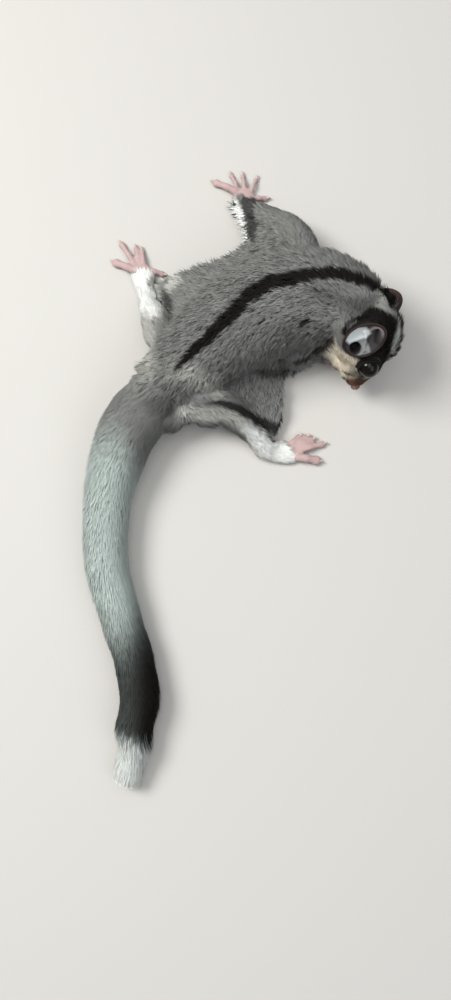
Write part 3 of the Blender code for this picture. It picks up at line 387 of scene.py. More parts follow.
def readMarks(p, n, weight):
    # masks from 0 to 1: black, dark (darker fur with painted shade), pale (paler fur with a painted sheen), white,
    # cream, how frosted the tail is and how brown the end of the snout
    wobble = ripple(p, 4.5, 3) * 0.45 + ripple(p, 1.9, 4) * 0.3
    h = toHead(p)
    mirrored = h * (1, 1, -1)
    hn = n @ headAxes.T
    onHead = weight[:, partNames.index("head")]
    onTail = weight[:, partNames.index("tail")]
    onTrunk = weight[:, partNames.index("trunk")]
    onFlap = weight[:, partNames.index("membraneLeft")] + weight[:, partNames.index("membraneRight")]
    mark = markPlan
    warp = wobble[:, None] * unit(np.cross(n, (0.3, 0.5, 0.8)))
    q = p + warp

    black = stroke(q, n, mark["backStripe"], 0.8) * (1 - onTail)
    crown = stroke(h + warp * 0.6, hn, mark["crownStripe"], 0.6)
    black = np.maximum(black, crown)
    face = inside(h[:, 0] + wobble * 0.4, h[:, 1], mark["faceMask"], 0.55)
    face *= np.maximum(ramp(h[:, 2], 1.0, 2.4), ramp(-h[:, 2], 5.0, 6.2))
    face *= ramp(onHead, 0.2, 0.5)
    black = np.maximum(black, face)

    # darker fur bands and spots, with painted shade in folds and creases, under the right arm and on the nape, shoulder
    # and flank
    dark = np.zeros(len(p))
    for name, strength, soft in (("armBandLeft", 0.82, 0.9), ("legBandAndFoldShadeRight", 1.0, 0.9), ("flapEdgeAndFoldShadeRight", 0.8, 1.2),
                                 ("chestShadeAndFurRight", 0.9, 1.0), ("flankSpot", 0.95, 0.9), ("flankShade", 0.3, 2.4),
                                 ("ankleStripeAndFoldShade", 0.8, 0.9), ("napeShade", 0.7, 4.0), ("shoulderShade", 0.52, 4.0),
                                 ("tailRootDark", 0.5, 2.5), ("armpitShade", 0.8, 0.7)):
        dark = np.maximum(dark, strength * stroke(q, n, mark[name], soft, 8.0))

    # paler fur bands, with a painted sheen over the rump and right hip
    pale = np.zeros(len(p))
    for name, strength, soft in (("thighPale", 0.78, 3.0), ("anklePale", 0.9, 1.0), ("legRightPale", 0.85, 1.8), ("footEdge", 0.8, 1.2),
                                 ("rumpPaleAndSheen", 0.9, 4.0)):
        pale = np.maximum(pale, strength * stroke(q, n, mark[name], soft, 8.0))
    brow = np.zeros(len(p))
    for place, way in ((h, hn), (mirrored, hn * (1, 1, -1))):
        band = stroke(place, way, mark["crownBand"], 0.9) * ramp(onHead, 0.2, 0.6)
        pale = np.maximum(pale, band)
        brow = np.maximum(brow, 0.5 * band * ramp(h[:, 0], -13, -7))

    white = brow
    for name, soft in (("fringeLeft", 0.7), ("footLeftWhite", 1.2), ("footRightWhite", 1.5)):
        clear = 1 if name == "fringeLeft" else 1 - ramp(onFlap, 0.15, 0.45)
        white = np.maximum(white, stroke(q, n, mark[name], soft, 8.0) * clear)
    under = ramp(-n[:, 2], 0.25, 0.75) * (1 - onTail) * (1 - onHead)
    white = np.maximum(white, 0.85 * under)

    cheek = inside(h[:, 0], h[:, 1] + wobble * 0.4, mark["cheek"], 0.9) * onHead
    cream = np.maximum(cheek, 0.35 * under * onTrunk)

    y = p[:, 1] + wobble * 2.2
    # the tail is painted paler on its lit left side and blacker on its shaded right side: painted light and shade over
    # its grey, frosted and black bands
    tailLitLeft = ramp(-(p[:, 0] + 44), -8, 7)
    base = ramp(-y + 18 * (tailLitLeft - 0.5), -13.0, 15.0)
    low, high = mark["tailDark"]
    tailShadedRight = ramp(p[:, 0], -48.0, -36.0)
    night = ramp(-y + 12 * (tailShadedRight - 0.5), -low, -high)
    tip = ramp(-y - 0.45 * (p[:, 0] + 42), -mark["tailTip"][0], -mark["tailTip"][1])
    black = black * (1 - onTail) + onTail * night * (0.88 + 0.12 * tailShadedRight) * (1 - tip)
    white = white * (1 - onTail) + onTail * tip * 0.75
    frost = onTail * np.maximum(base, tip)
    snout = ramp(h[:, 0] + 0.08 * h[:, 1] + 0.58 * np.abs(h[:, 2]) + wobble * 0.5, 13.7, 16.6) * onHead
    return np.stack([black, dark, pale, white, cream, frost, snout], 1)


# ---- meshes from arrays ----
def meshFrom(name, points, faces, smooth=True):
    mesh = bpy.data.meshes.new(name)
    mesh.vertices.add(len(points))
    mesh.vertices.foreach_set("co", np.asarray(points * mm, np.float32).ravel())
    sizes = np.array([len(f) for f in faces], np.int32) if isinstance(faces, list) else None
    if sizes is None:
        sizes = np.full(len(faces), faces.shape[1], np.int32)
        flat = faces.ravel()
    else:
        flat = np.array([i for f in faces for i in f], np.int32)
    mesh.loops.add(len(flat))
    mesh.loops.foreach_set("vertex_index", flat.astype(np.int32))
    mesh.polygons.add(len(sizes))
    mesh.polygons.foreach_set("loop_start", np.concatenate([[0], np.cumsum(sizes)[:-1]]).astype(np.int32))
    mesh.update(calc_edges=True)
    mesh.validate()
    if smooth:
        mesh.polygons.foreach_set("use_smooth", np.ones(len(mesh.polygons), bool))
    obj = bpy.data.objects.new(name, mesh)
    bpy.context.scene.collection.objects.link(obj)
    return obj


def loft(rings):
    # closed skin over rings of points, a point at the middle of each end
    rings = np.asarray(rings, float)
    steps, count = rings.shape[:2]
    points = rings.reshape(-1, 3)
    faces = []
    for r in range(steps - 1):
        for k in range(count):
            n = (k + 1) % count
            faces.append((r * count + k, (r + 1) * count + k, (r + 1) * count + n, r * count + n))
    points = np.vstack([points, rings[0].mean(0), rings[-1].mean(0)])
    last = (steps - 1) * count
    for k in range(count):
        n = (k + 1) % count
        faces.append((len(points) - 2, k, n))
        faces.append((len(points) - 1, last + n, last + k))
    return points, faces


def tube(rows, steps, sides):
    # round-ended tube through rows of x, y, z, half width and half height
    rows = np.array(rows, float)
    path = spline(rows, steps)
    ahead = unit(np.gradient(path[:, :3], axis=0))
    side = unit(np.cross(ahead, (0, 0, 1.0)))
    up = np.cross(side, ahead)
    turns = np.linspace(0, 2 * math.pi, sides, endpoint=False)
    rings = []

    def ring(i, reach, shrink):
        middle = path[i, :3] + ahead[i] * reach
        return (middle + np.outer(np.cos(turns), side[i]) * path[i, 3] * shrink
                + np.outer(np.sin(turns), up[i]) * path[i, -1] * shrink)

    caps = [(75, 0.259), (50, 0.643), (25, 0.906)]
    for angle, shrink in caps:
        rings.append(ring(0, -math.sin(math.radians(angle)) * min(path[0, 3], path[0, -1]), shrink))
    rings += [ring(i, 0.0, 1.0) for i in range(steps)]
    for angle, shrink in reversed(caps):
        rings.append(ring(steps - 1, math.sin(math.radians(angle)) * min(path[-1, 3], path[-1, -1]), shrink))
    return loft(rings)


def ball(middle, radii, ways=None, rings=24, sides=32):
    ways = np.identity(3) if ways is None else np.asarray(ways, float)
    out = []
    for a in np.linspace(-math.pi / 2, math.pi / 2, rings + 2)[1:-1]:
        turns = np.linspace(0, 2 * math.pi, sides, endpoint=False)
        ring = np.stack([np.cos(turns) * math.cos(a), np.sin(turns) * math.cos(a), np.full(sides, math.sin(a))], 1)
        out.append(np.asarray(middle) + (ring * np.asarray(radii)) @ ways)
    return loft(out)


def gather(name, lumps):
    # several point and face lists as one mesh, every face pointing out
    points, faces, base = [], [], 0
    for p, f in lumps:
        points.append(p)
        faces += [tuple(i + base for i in face) for face in f]
        base += len(p)
    obj = meshFrom(name, np.vstack(points), faces)
    bm = bmesh.new()
    bm.from_mesh(obj.data)
    bmesh.ops.recalc_face_normals(bm, faces=bm.faces)
    bm.to_mesh(obj.data)
    bm.free()
    return obj


def settle(obj):
    graph = bpy.context.evaluated_depsgraph_get()
    mesh = bpy.data.meshes.new_from_object(obj.evaluated_get(graph))
    obj.modifiers.clear()
    old = obj.data
    obj.data = mesh
    bpy.data.meshes.remove(old)
    return obj


def joinMeshes(name, objects):
    bm = bmesh.new()
    for obj in objects:
        bm.from_mesh(obj.data)
        old = obj.data
        bpy.data.objects.remove(obj)
        bpy.data.meshes.remove(old)
    mesh = bpy.data.meshes.new(name)
    bm.to_mesh(mesh)
    bm.free()
    obj = bpy.data.objects.new(name, mesh)
    bpy.context.scene.collection.objects.link(obj)
    return obj


def coordinates(mesh):
    co = np.zeros(len(mesh.vertices) * 3, np.float32)
    mesh.vertices.foreach_get("co", co)
    return co.reshape(-1, 3).astype(float) / mm


def normalsOf(mesh):
    out = np.zeros(len(mesh.vertices) * 3, np.float32)
    mesh.vertex_normals.foreach_get("vector", out)
    return out.reshape(-1, 3).astype(float)


def place(mesh, points):
    mesh.vertices.foreach_set("co", np.asarray(points * mm, np.float32).ravel())
    mesh.update()


def carve(obj, cutter, operation="DIFFERENCE"):
    cut = obj.modifiers.new("Carve", "BOOLEAN")
    cut.operation = operation
    cut.solver = "EXACT"
    cut.object = cutter
    settle(obj)
    old = cutter.data
    bpy.data.objects.remove(cutter)
    bpy.data.meshes.remove(old)
    return obj


# ---- ears: leaf-shaped cups in their own directions, x to the back, y to the tip, z out of the head ----
earPlan = {
    "middles": {1: (-10.4, 4.2, 14.6), -1: (-11.6, 5.9, -14.6)},
    "longWay": (-0.55, 0.78, 0.30),
    "openWay": (-0.12, 0.30, 0.94),
    "outline": [(0.6, -9.3), (-2.6, -8.0), (-4.9, -4.4), (-5.4, -0.4), (-4.6, 3.6), (-2.2, 7.2), (1.0, 8.2),
                (4.4, 6.2), (6.6, 2.2), (7.2, -2.2), (6.2, -6.2), (3.8, -8.9)],
    "heart": (0.8, -0.6),
    "rimHigh": {1: (0.3, 0.24), -1: (-0.3, 0.16)},      # rim over the middle and how it climbs to the tip
    "deep": 3.6,
    "wall": 0.8,
    "canal": (-0.4, -5.9, 2.3, 3.6),     # x, y, radius, depth
    "folds": [([(-2.7, -3.8), (-0.6, -0.4), (2.6, 1.0)], 0.75, 0.9),
              ([(1.9, 2.9), (2.3, 5.2), (1.0, 6.9), (-1.0, 7.1), (-3.0, 5.6), (-4.0, 3.4)], 0.7, 0.8),
              ([(0.8, 5.9), (-1.2, 3.9), (-3.3, 1.7)], 0.6, -0.8),
              ([(-4.9, -1.8), (-3.2, -3.4), (-3.0, -6.6)], 0.7, 0.8)],
    # whitish skin of the back wall of the cup, with a painted reflection
    "paleAndReflectionPatch": [(2.6, -6.6), (4.9, -6.6), (6.4, -3.6), (6.5, 0.4), (4.4, 3.0), (0.8, 2.7), (0.3, -0.2), (1.3, -3.4)],
    "greyPatch": [(0.3, -0.3), (1.2, -3.4), (-1.6, -3.9), (-2.6, -7.6), (-5.2, -5.6), (-5.6, -3.0), (-3.9, -1.6)],
}


def earAxes(side):
    flip = np.array((1, 1, side))
    opening = unit(np.array(earPlan["openWay"]) * flip)
    longWay = np.array(earPlan["longWay"]) * flip
    longWay = unit(longWay - opening * (longWay @ opening))
    return np.array((np.cross(opening, longWay) * side, longWay, opening)), np.array(earPlan["middles"][side])


def toEar(h, side):
    axes, middle = earAxes(side)
    return (h - middle) @ axes.T


def earOutline(turn):
    # how far the rim is from the heart of the ear in each direction
    ring = np.array(earPlan["outline"] * 3) - earPlan["heart"]
    smooth = spline(ring, len(ring) * 12)
    count = len(smooth) // 3
    smooth = smooth[count:2 * count]
    angle = np.arctan2(smooth[:, 1], smooth[:, 0])
    order = np.argsort(angle)
    return np.interp(turn, angle[order], np.hypot(*smooth[order].T), period=2 * math.pi)


def earReach(x, y):
    x0, y0 = earPlan["heart"]
    return np.hypot(x - x0, y - y0) / earOutline(np.arctan2(y - y0, x - x0))


def earCup(y, reach, side):
    # height of the plain cup without its folds
    high, climb = earPlan["rimHigh"][side]
    return high + climb * y - earPlan["deep"] * (1 - np.minimum(reach, 1.0) ** 2.6)


def flatDistance(x, y, line):
    points = np.column_stack([x, y, np.zeros_like(x)])
    gap, _ = pathDistance(points, [(a, b, 0, 0) for a, b in line])
    return np.hypot(gap[:, 0], gap[:, 1])


def makeEar(name, side, material):
    x0, y0 = earPlan["heart"]
    turn = np.linspace(-math.pi, math.pi, 96, endpoint=False)
    edge = earOutline(turn)
    rings = []

    def ring(reach, lowered, back):
        x = x0 + np.cos(turn) * edge * reach
        y = y0 + np.sin(turn) * edge * reach
        z = earCup(y, np.full(len(x), reach), side) - lowered
        cx, cy, radius, depth = earPlan["canal"]
        wide = 1.3 if back else 1.0
        z -= depth * (1 - ramp(np.hypot(x - cx, y - cy), radius * 0.62 * wide, radius * wide))
        if not back:
            inner = 1 - ramp(np.full(len(x), reach), 0.93, 1.0)
            for line, width, height in earPlan["folds"]:
                z += height * np.exp(-(flatDistance(x, y, line) / width) ** 2) * inner
        rings.append(np.column_stack([x, y, z]))

    for reach in np.linspace(0.03, 0.97, 44):
        ring(reach, 0.0, False)
    wall = earPlan["wall"]
    for reach, lowered in ((1.0, -0.12), (1.035, -0.02), (1.05, wall * 0.4), (1.035, wall * 0.8), (1.0, wall)):
        ring(reach, lowered, True)
    for reach in np.linspace(0.95, 0.03, 20):
        ring(reach, wall, True)
    points, faces = loft(rings)
    axes, middle = earAxes(side)
    ear = gather("ear_cup_" + name, [(fromHead(points @ axes + middle), faces)])
    x, y, z = points.T
    front = np.concatenate([np.ones(44 * 96), np.zeros(len(points) - 44 * 96)])
    front[-2] = 1
    cx, cy, radius, depth = earPlan["canal"]
    fold = np.exp(-(flatDistance(x, y, earPlan["folds"][1][0]) / 0.85) ** 2) * ramp(x, -3.4, -0.8)
    # painted shade along the furrow between the rims
    grooveShade = np.exp(-(flatDistance(x, y, earPlan["folds"][2][0]) / 0.7) ** 2)
    reach = earReach(x, y)
    # whitish back wall with a painted reflection
    paintPoints(ear, earPale=inside(x, y, earPlan["paleAndReflectionPatch"], 0.7) * front,
                earGrey=inside(x, y, earPlan["greyPatch"], 0.6) * front, earFold=fold * front,
                earRim=ramp(reach, 0.86, 0.95) * (1 - front * ramp(reach, 1.1, 1.2)),
                earGroove=grooveShade * front, earBack=1 - front,
                # painted shade down the canal
                canal=(1 - ramp(np.hypot(x - cx, y - cy), radius * 0.85, radius * 1.12)) * front)
    bpy.context.view_layer.objects.active = ear
    ear.select_set(True)
    bpy.ops.object.mode_set(mode="EDIT")
    bpy.ops.mesh.select_all(action="SELECT")
    bpy.ops.uv.smart_project(island_margin=0.01)
    bpy.ops.object.mode_set(mode="OBJECT")
    ear.select_set(False)
    ear.data.uv_layers[0].name = "OFBake"
    ear.data.materials.append(material)
    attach(ear, "root")
    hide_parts("ear_" + name)
    return ear


def seatEars(skin):
    # the head's skin stays behind each ear
    mesh = skin.data
    h = toHead(coordinates(mesh))
    for side in (-1, 1):
        axes, _ = earAxes(side)
        x, y, z = toEar(h, side).T
        reach = earReach(x, y)
        cx, cy, radius, depth = earPlan["canal"]
        hole = depth * (1 - ramp(np.hypot(x - cx, y - cy), radius, radius * 1.4))
        behind = earCup(y, reach, side) - earPlan["wall"] - 0.7 - hole
        sunk = np.maximum(z - behind, 0) * (1 - ramp(reach, 1.0, 1.25)) * (z > -9)
        h -= sunk[:, None] * axes[2]
    place(mesh, fromHead(h))


# ---- skin ----
skinPlan = {
    "bridge": 0.24,      # each solid is swollen by this so that the thin cuts between them close
    "voxel": 0.5,
    "softening": 6,
    "lid": 0.55,
    "cheek": ((6.0, -5.5, 5.8), (5.0, 4.0, 4.9)),
    "throat": [(36.8, 44.0, 14.5, 4.6, 5.6), (33.8, 46.2, 13.5, 4.4, 5.4), (39.2, 40.8, 14.0, 4.0, 4.6)],
    "shoulder": [(14.8, 91.2, 9.4, 4.6, 4.2), (17.6, 89.4, 9.4, 4.2, 4.4)],
    "groin": [(-26.5, 20.0, 13.0, 4.8, 6.4), (-22.0, 20.2, 15.2, 5.2, 5.6), (-17.5, 18.4, 13.4, 4.6, 5.4),
              (-13.0, 17.6, 12.0, 4.0, 5.0)],
    "fleshNodes": ["torso", "neck", "head", "upper_arm_left", "upper_arm_right", "forearm_left", "forearm_right",
                   "thigh_left", "thigh_right", "shin_left", "shin_right", "membrane_left", "membrane_right"],
}


def swollenCopy(name, reach):
    mesh = nodes[name].data.copy()
    mesh.materials.clear()
    obj = bpy.data.objects.new("flesh_" + name, mesh)
    bpy.context.scene.collection.objects.link(obj)
    bm = bmesh.new()
    bm.from_mesh(mesh)
    bmesh.ops.remove_doubles(bm, verts=bm.verts, dist=0.00001)
    bm.normal_update()
    moves = [v.co + v.normal * reach * mm for v in bm.verts]
    for v, co in zip(bm.verts, moves):
        v.co = co
    bm.to_mesh(mesh)
    bm.free()
    return obj


def pawLumps(plan):
    # palm or sole with knuckled digits and round toe pads
    lumps = [tube(moved(plan["palm"]), 22, 20)]
    for x0, y0, x1, y1, r in plan["digits"]:
        way = unit((x1 - x0, y1 - y0, 0))
        a = np.array((x0, y0, r + 0.9)) + shift
        b = np.array((x1, y1, r - 0.15)) - way + shift
        rows = []
        for t, fat, rise in ((0, 1.12, 0), (0.22, 0.98, 0.55), (0.42, 1.10, 0.85), (0.62, 0.92, 0.7), (0.82, 1.0, 0.3),
                             (1.0, 1.08, 0.0)):
            c = a + (b - a) * t
            rows.append((*(c + (0, 0, rise * 0.9)), r * fat, r * fat))
        lumps.append(tube(rows, 18, 12))
        lumps.append(ball(b - way * 0.3, (r * 1.3, r * 1.3, r * 1.08), rings=10, sides=14))
    return lumps


def tailCoreRows():
    rows = tailRows(70)
    t = np.linspace(0, 1, 70)
    share = bodyPlan["tailCore"] + 0.32 * (1 - ramp(t, 0.0, 0.26))
    radius = rows[:, 3] * share
    return np.column_stack([rows[:, :3], radius, radius])


def headLump(lump):
    points, faces = lump
    return fromHead(points), faces


def makeSkin():
    flesh = [swollenCopy(name, skinPlan["bridge"]) for name in skinPlan["fleshNodes"]]
    lumps = [tube(tailCoreRows(), 70, 24)]
    for plan in pawPlan.values():
        lumps += pawLumps(plan)
    groin = np.array(skinPlan["groin"])
    steps = np.linspace(0, len(groin) - 1, 16)
    groin = np.stack([np.interp(steps, np.arange(len(groin)), row) for row in groin.T], 1)
    for x, y, z, wide, tall in [*skinPlan["throat"], *skinPlan["shoulder"], *groin]:
        lumps.append(ball((x, y, z), (wide, wide, tall)))
    for side in (-1, 1):
        # the socket is filled here and opened again by openLids
        x, y, z = headPlan["eye"]
        radius = headPlan["eyeRadius"] + skinPlan["lid"]
        lumps.append(headLump(ball((x, y, z * side), (radius,) * 3)))
        spot, radii = skinPlan["cheek"]
        lumps.append(headLump(ball(np.array(spot) * (1, 1, side), radii)))
    flesh.append(gather("pawsAndTail", lumps))
    skin = joinMeshes("skin", flesh)
    whole = skin.modifiers.new("One surface", "REMESH")
    whole.mode = "VOXEL"
    whole.voxel_size = skinPlan["voxel"] * mm
    soft = skin.modifiers.new("Soften", "SMOOTH")
    soft.factor = 0.5
    soft.iterations = skinPlan["softening"]
    settle(skin)
    bm = bmesh.new()
    bm.from_mesh(skin.data)
    keepLargest(bm)
    bm.to_mesh(skin.data)
    bm.free()
    return skin


def smoothCheeks(skin):
    # the hollow between cheek and snout is evened out
    bm = bmesh.new()
    bm.from_mesh(skin.data)
    h = toHead(np.array([v.co for v in bm.verts]) / mm)
    reach = np.linalg.norm((np.abs(h * (0, 0, 1)) + h * (1, 1, 0) - (5.0, -5.0, 8.5)) / (8.0, 4.6, 7.0), axis=1)
    bm.verts.ensure_lookup_table()
    picked = [bm.verts[int(i)] for i in np.where(reach < 1)[0]]
    for _ in range(22):
        bmesh.ops.smooth_vert(bm, verts=picked, factor=0.5, use_axis_x=True, use_axis_y=True, use_axis_z=True)
    bm.to_mesh(skin.data)
    bm.free()


def refineFace(skin):
    # smaller faces where the face has its folds
    bm = bmesh.new()
    bm.from_mesh(skin.data)
    co = toHead(np.array([v.co for v in bm.verts]) / mm)
    eye = np.array(headPlan["eye"])
    eyeFar = np.minimum(np.linalg.norm(co - eye, axis=1), np.linalg.norm(co - eye * (1, 1, -1), axis=1))
    snout = (co[:, 0] > 8.0) & (np.abs(co[:, 2]) < 10) & (np.abs(co[:, 1]) < 13) & (co[:, 0] < 24)
    wanted = (eyeFar < 6.2) | snout
    edges = [e for e in bm.edges if wanted[e.verts[0].index] and wanted[e.verts[1].index]]
    bmesh.ops.subdivide_edges(bm, edges=edges, cuts=1, use_grid_fill=True)
    bmesh.ops.triangulate(bm, faces=[f for f in bm.faces if len(f.verts) > 4])
    bm.to_mesh(skin.data)
    bm.free()


def openLids(skin):
    # press the skin in front of each eyeball back behind it, leaving a rounded lid round the opening
    mesh = skin.data
    p = coordinates(mesh)
    h = toHead(p)
    for side in (-1, 1):
        middle = np.array(headPlan["eye"]) * (1, 1, side)
        way = unit(np.array(headPlan["eyeWay"]) * (1, 1, side))
        d = h - middle
        far = np.linalg.norm(d, axis=1)
        spread = np.degrees(np.arccos(np.clip(dots(d, way) / np.maximum(far, 1e-6), -1, 1)))
        radius = headPlan["eyeRadius"]
        near = far < radius + 3.0
        opened = (1 - ramp(spread, 74.0, 79.0)) * near
        rim = ramp(spread, 74.0, 80.0) * (1 - ramp(spread, 88.0, 104.0)) * near
        goal = far * (1 - rim) + np.minimum(far, radius + 0.55) * rim
        goal = goal * (1 - opened) + (radius - 0.8) * opened
        crease = np.exp(-((spread - 102.0) / 8.0) ** 2) * near * 0.3
        goal = goal - crease
        change = near & (far > 0.5)
        h[change] = middle + d[change] * (goal[change] / far[change])[:, None]
    place(mesh, fromHead(h))


def keepLargest(bm):
    left = set(bm.verts)
    best = []
    while left:
        todo = [left.pop()]
        group = list(todo)
        while todo:
            v = todo.pop()
            for e in v.link_edges:
                w = e.other_vert(v)
                if w in left:
                    left.discard(w)
                    todo.append(w)
                    group.append(w)
        if len(group) > len(best):
            best = group
    keep = set(best)
    bmesh.ops.delete(bm, geom=[v for v in bm.verts if v not in keep], context="VERTS")


def eyeMiddle(side):
    x, y, z = headPlan["eye"]
    return fromHead((x, y, z * side))


def bareMask(p, weight, behindEars=(0.9, 1.0)):
    # 1 where the skin carries no coat: paws, nose pad, eyelids and what the ears cover
    h = toHead(p)
    bare = np.zeros(len(p))
    flap = weight[:, partNames.index("membraneLeft")] + weight[:, partNames.index("membraneRight")]
    for name, plan in pawPlan.items():
        past = (p[:, :2] - plan["bareAt"]) @ unit(plan["bareWay"])
        near = ramp(weight[:, partNames.index(name)], 0.3, 0.6)
        bare = np.maximum(bare, ramp(past, -1.1, 1.1) * near)
        for x0, y0, x1, y1, r in plan["digits"]:
            a = np.array((x0, y0)) + shift[:2]
            b = np.array((x1, y1)) + shift[:2]
            a = a + (b - a) * 0.3
            t = np.clip((p[:, :2] - a) @ (b - a) / ((b - a) @ (b - a)), 0, 1.2)
            far = np.linalg.norm(p[:, :2] - a - t[:, None] * (b - a), axis=1)
            low = (1 - ramp(p[:, 2], 4.2, 5.0)) * (1 - ramp(flap, 0.2, 0.45))
            bare = np.maximum(bare, (1 - ramp(far, r + 0.7, r + 1.6)) * low)
    nose = np.linalg.norm((h - (20.2, -4.6, 0)) / (2.7, 2.3, 2.6), axis=1)
    bare = np.maximum(bare, 1 - ramp(nose, 0.85, 1.15))
    for side in (-1, 1):
        middle = np.array(headPlan["eye"]) * (1, 1, side)
        far = np.linalg.norm(h - middle, axis=1)
        bare = np.maximum(bare, 1 - ramp(far, 5.0, 5.4))
        if behindEars:
            x, y, z = toEar(h, side).T
            bare = np.maximum(bare, (1 - ramp(earReach(x, y), *behindEars)) * ramp(z, -9.0, -7.5))
    return bare


def coatDepth(p, weight):
    # how far the coat stands off the skin
    depth = blended("depth", weight)
    tail = weight[:, partNames.index("tail")]
    h = toHead(p)
    muzzle = ramp(h[:, 0], 4.0, 16.0) * weight[:, partNames.index("head")]
    depth = depth * (1 - 0.62 * muzzle)
    for side in (-1, 1):
        middle = np.array(headPlan["eye"]) * (1, 1, side)
        far = np.linalg.norm(h - middle, axis=1)
        depth = depth * (0.15 + 0.85 * ramp(far, 5.0, 9.5))
    for name, plan in pawPlan.items():
        palm = moved(plan["palm"])
        past = (p - palm[1, :3]) @ unit(palm[2, :3] - palm[1, :3])
        near = 1 - ramp(np.linalg.norm(p - palm[1, :3], axis=1), 16, 22)
        depth = depth * (1 - 0.6 * near * ramp(past, -8, 4))
    return depth * (1 - bareMask(p, weight)), tail


def shrinkSkin(skin):
    # sink the furred skin under its coat; the tail's core already has its size
    mesh = skin.data
    p = coordinates(mesh)
    n = normalsOf(mesh)
    weight, _ = shares(p)
    depth, tail = coatDepth(p, weight)
    bare = bareMask(p, weight)
    depth = depth * (1 - ramp(tail, 0.3, 0.7)) + skinPlan["bridge"] * (1 - bare) * (1 - tail)
    place(mesh, p - n * depth[:, None])
    soft = skin.modifiers.new("Soften", "SMOOTH")
    soft.factor = 0.4
    soft.iterations = 3
    settle(skin)


def shapeFace(skin):
    # mouth line, philtrum and nostrils pressed into the head's skin, nostril wings raised
    mesh = skin.data
    p = coordinates(mesh)
    n = normalsOf(mesh)
    h = toHead(p)
    m = h * (1, 1, 1)
    m[:, 2] = np.abs(m[:, 2])
    near = h[:, 0] > -4
    push = np.zeros(len(p))
    mouth = [(8.6, -7.9, 7.2, 0.3), (13.2, -8.5, 4.4, 0.35), (16.6, -8.3, 1.6, 0.4), (17.8, -8.0, 0.0, 0.4)]
    gap, half = pathDistance(m, mouth)
    push -= 0.75 * (1 - ramp(np.linalg.norm(gap, axis=1) - half, 0.0, 0.6))
    philtrum = [(19.9, -5.9, 0, 0.2), (18.6, -7.8, 0, 0.2)]
    gap, half = pathDistance(m, philtrum)
    push -= 0.4 * (1 - ramp(np.linalg.norm(gap, axis=1) - half, 0.0, 0.5))
    hole = np.linalg.norm((m - (20.9, -4.5, 1.35)) / (1.0, 0.6, 0.7), axis=1)
    push -= 0.8 * (1 - ramp(hole, 0.6, 1.3))
    wing = np.linalg.norm((m - (20.2, -4.2, 2.0)) / (1.5, 1.1, 0.8), axis=1)
    push += 0.25 * (1 - ramp(wing, 0.6, 1.4))
    push[~near] = 0
    p = p + n * push[:, None]
    p[:, 2] = np.maximum(p[:, 2], 0.03)
    place(mesh, p)


# ---- unwraps ----
def roundCoords(part, p, turnNear=None):
    # distance along the part in millimetres and turn round it
    _, at = nearest(part, p)
    d = p - part["points"][at]
    along = part["run"][at] + dots(d, part["along"][at])
    turn = np.arctan2(dots(d, part["up"][at]), dots(d, part["side"][at]))
    if turnNear is not None:
        turn = turnNear + (turn - turnNear + math.pi) % (2 * math.pi) - math.pi
    return along, turn


def flatCoords(p, top):
    # seen from above on one half of the sheet, from below on the other
    return p[:, 0], p[:, 1], top


skinCharts = {
    "head": (0.01, 0.61, 0.42, 0.99), "trunk": (0.44, 0.51, 0.99, 0.99), "tail": (0.01, 0.41, 0.42, 0.59),
    "armLeft": (0.44, 0.37, 0.62, 0.49), "armRight": (0.64, 0.37, 0.80, 0.49), "legLeft": (0.82, 0.37, 0.99, 0.49),
    "legRight": (0.01, 0.27, 0.20, 0.39), "membraneLeft": (0.22, 0.15, 0.60, 0.35),
    "membraneRight": (0.62, 0.15, 0.99, 0.35), "handLeft": (0.01, 0.01, 0.24, 0.13),
    "handRight": (0.26, 0.01, 0.49, 0.13), "footLeft": (0.51, 0.01, 0.74, 0.13), "footRight": (0.76, 0.01, 0.99, 0.13),
}


def chartIn(box, a, b):
    # fit two coordinates into a box of the map
    a = (a - a.min()) / max(np.ptp(a), 1e-6)
    b = (b - b.min()) / max(np.ptp(b), 1e-6)
    return np.stack([box[0] + (box[2] - box[0]) * a, box[1] + (box[3] - box[1]) * b], 1)


def unwrapSkin(skin):
    mesh = skin.data
    p = coordinates(mesh)
    n = normalsOf(mesh)
    sizes = np.zeros(len(mesh.polygons), np.int32)
    mesh.polygons.foreach_get("loop_total", sizes)
    corner = np.zeros(len(mesh.loops), np.int32)
    mesh.loops.foreach_get("vertex_index", corner)
    starts = np.concatenate([[0], np.cumsum(sizes)[:-1]])
    centre = np.add.reduceat(p[corner], starts) / sizes[:, None]
    normal = np.add.reduceat(n[corner], starts)
    weight, _ = shares(centre)
    owner = weight.argmax(1)
    faceOf = np.repeat(np.arange(len(sizes)), sizes)
    uv = np.zeros((len(corner), 2))
    for k, name in enumerate(partNames):
        mine = owner[faceOf] == k
        if not mine.any():
            continue
        q = p[corner[mine]]
        box = skinCharts[name]
        if parts[name]["kind"] == "round":
            _, middleTurn = roundCoords(parts[name], centre)
            along, turn = roundCoords(parts[name], q, middleTurn[faceOf[mine]])
            uv[mine] = chartIn(box, along, turn)
        else:
            top = normal[faceOf[mine], 2] > 0
            half = (box[2] - box[0]) / 2
            for side, low in ((top, box[0]), (~top, box[0] + half)):
                sub = np.where(mine)[0][side]
                if len(sub):
                    uv[sub] = chartIn((low, box[1], low + half - 0.004, box[3]), q[side][:, 0], q[side][:, 1])
    layer = mesh.uv_layers.new(name="OFBake")
    layer.data.foreach_set("uv", uv.astype(np.float32).ravel())


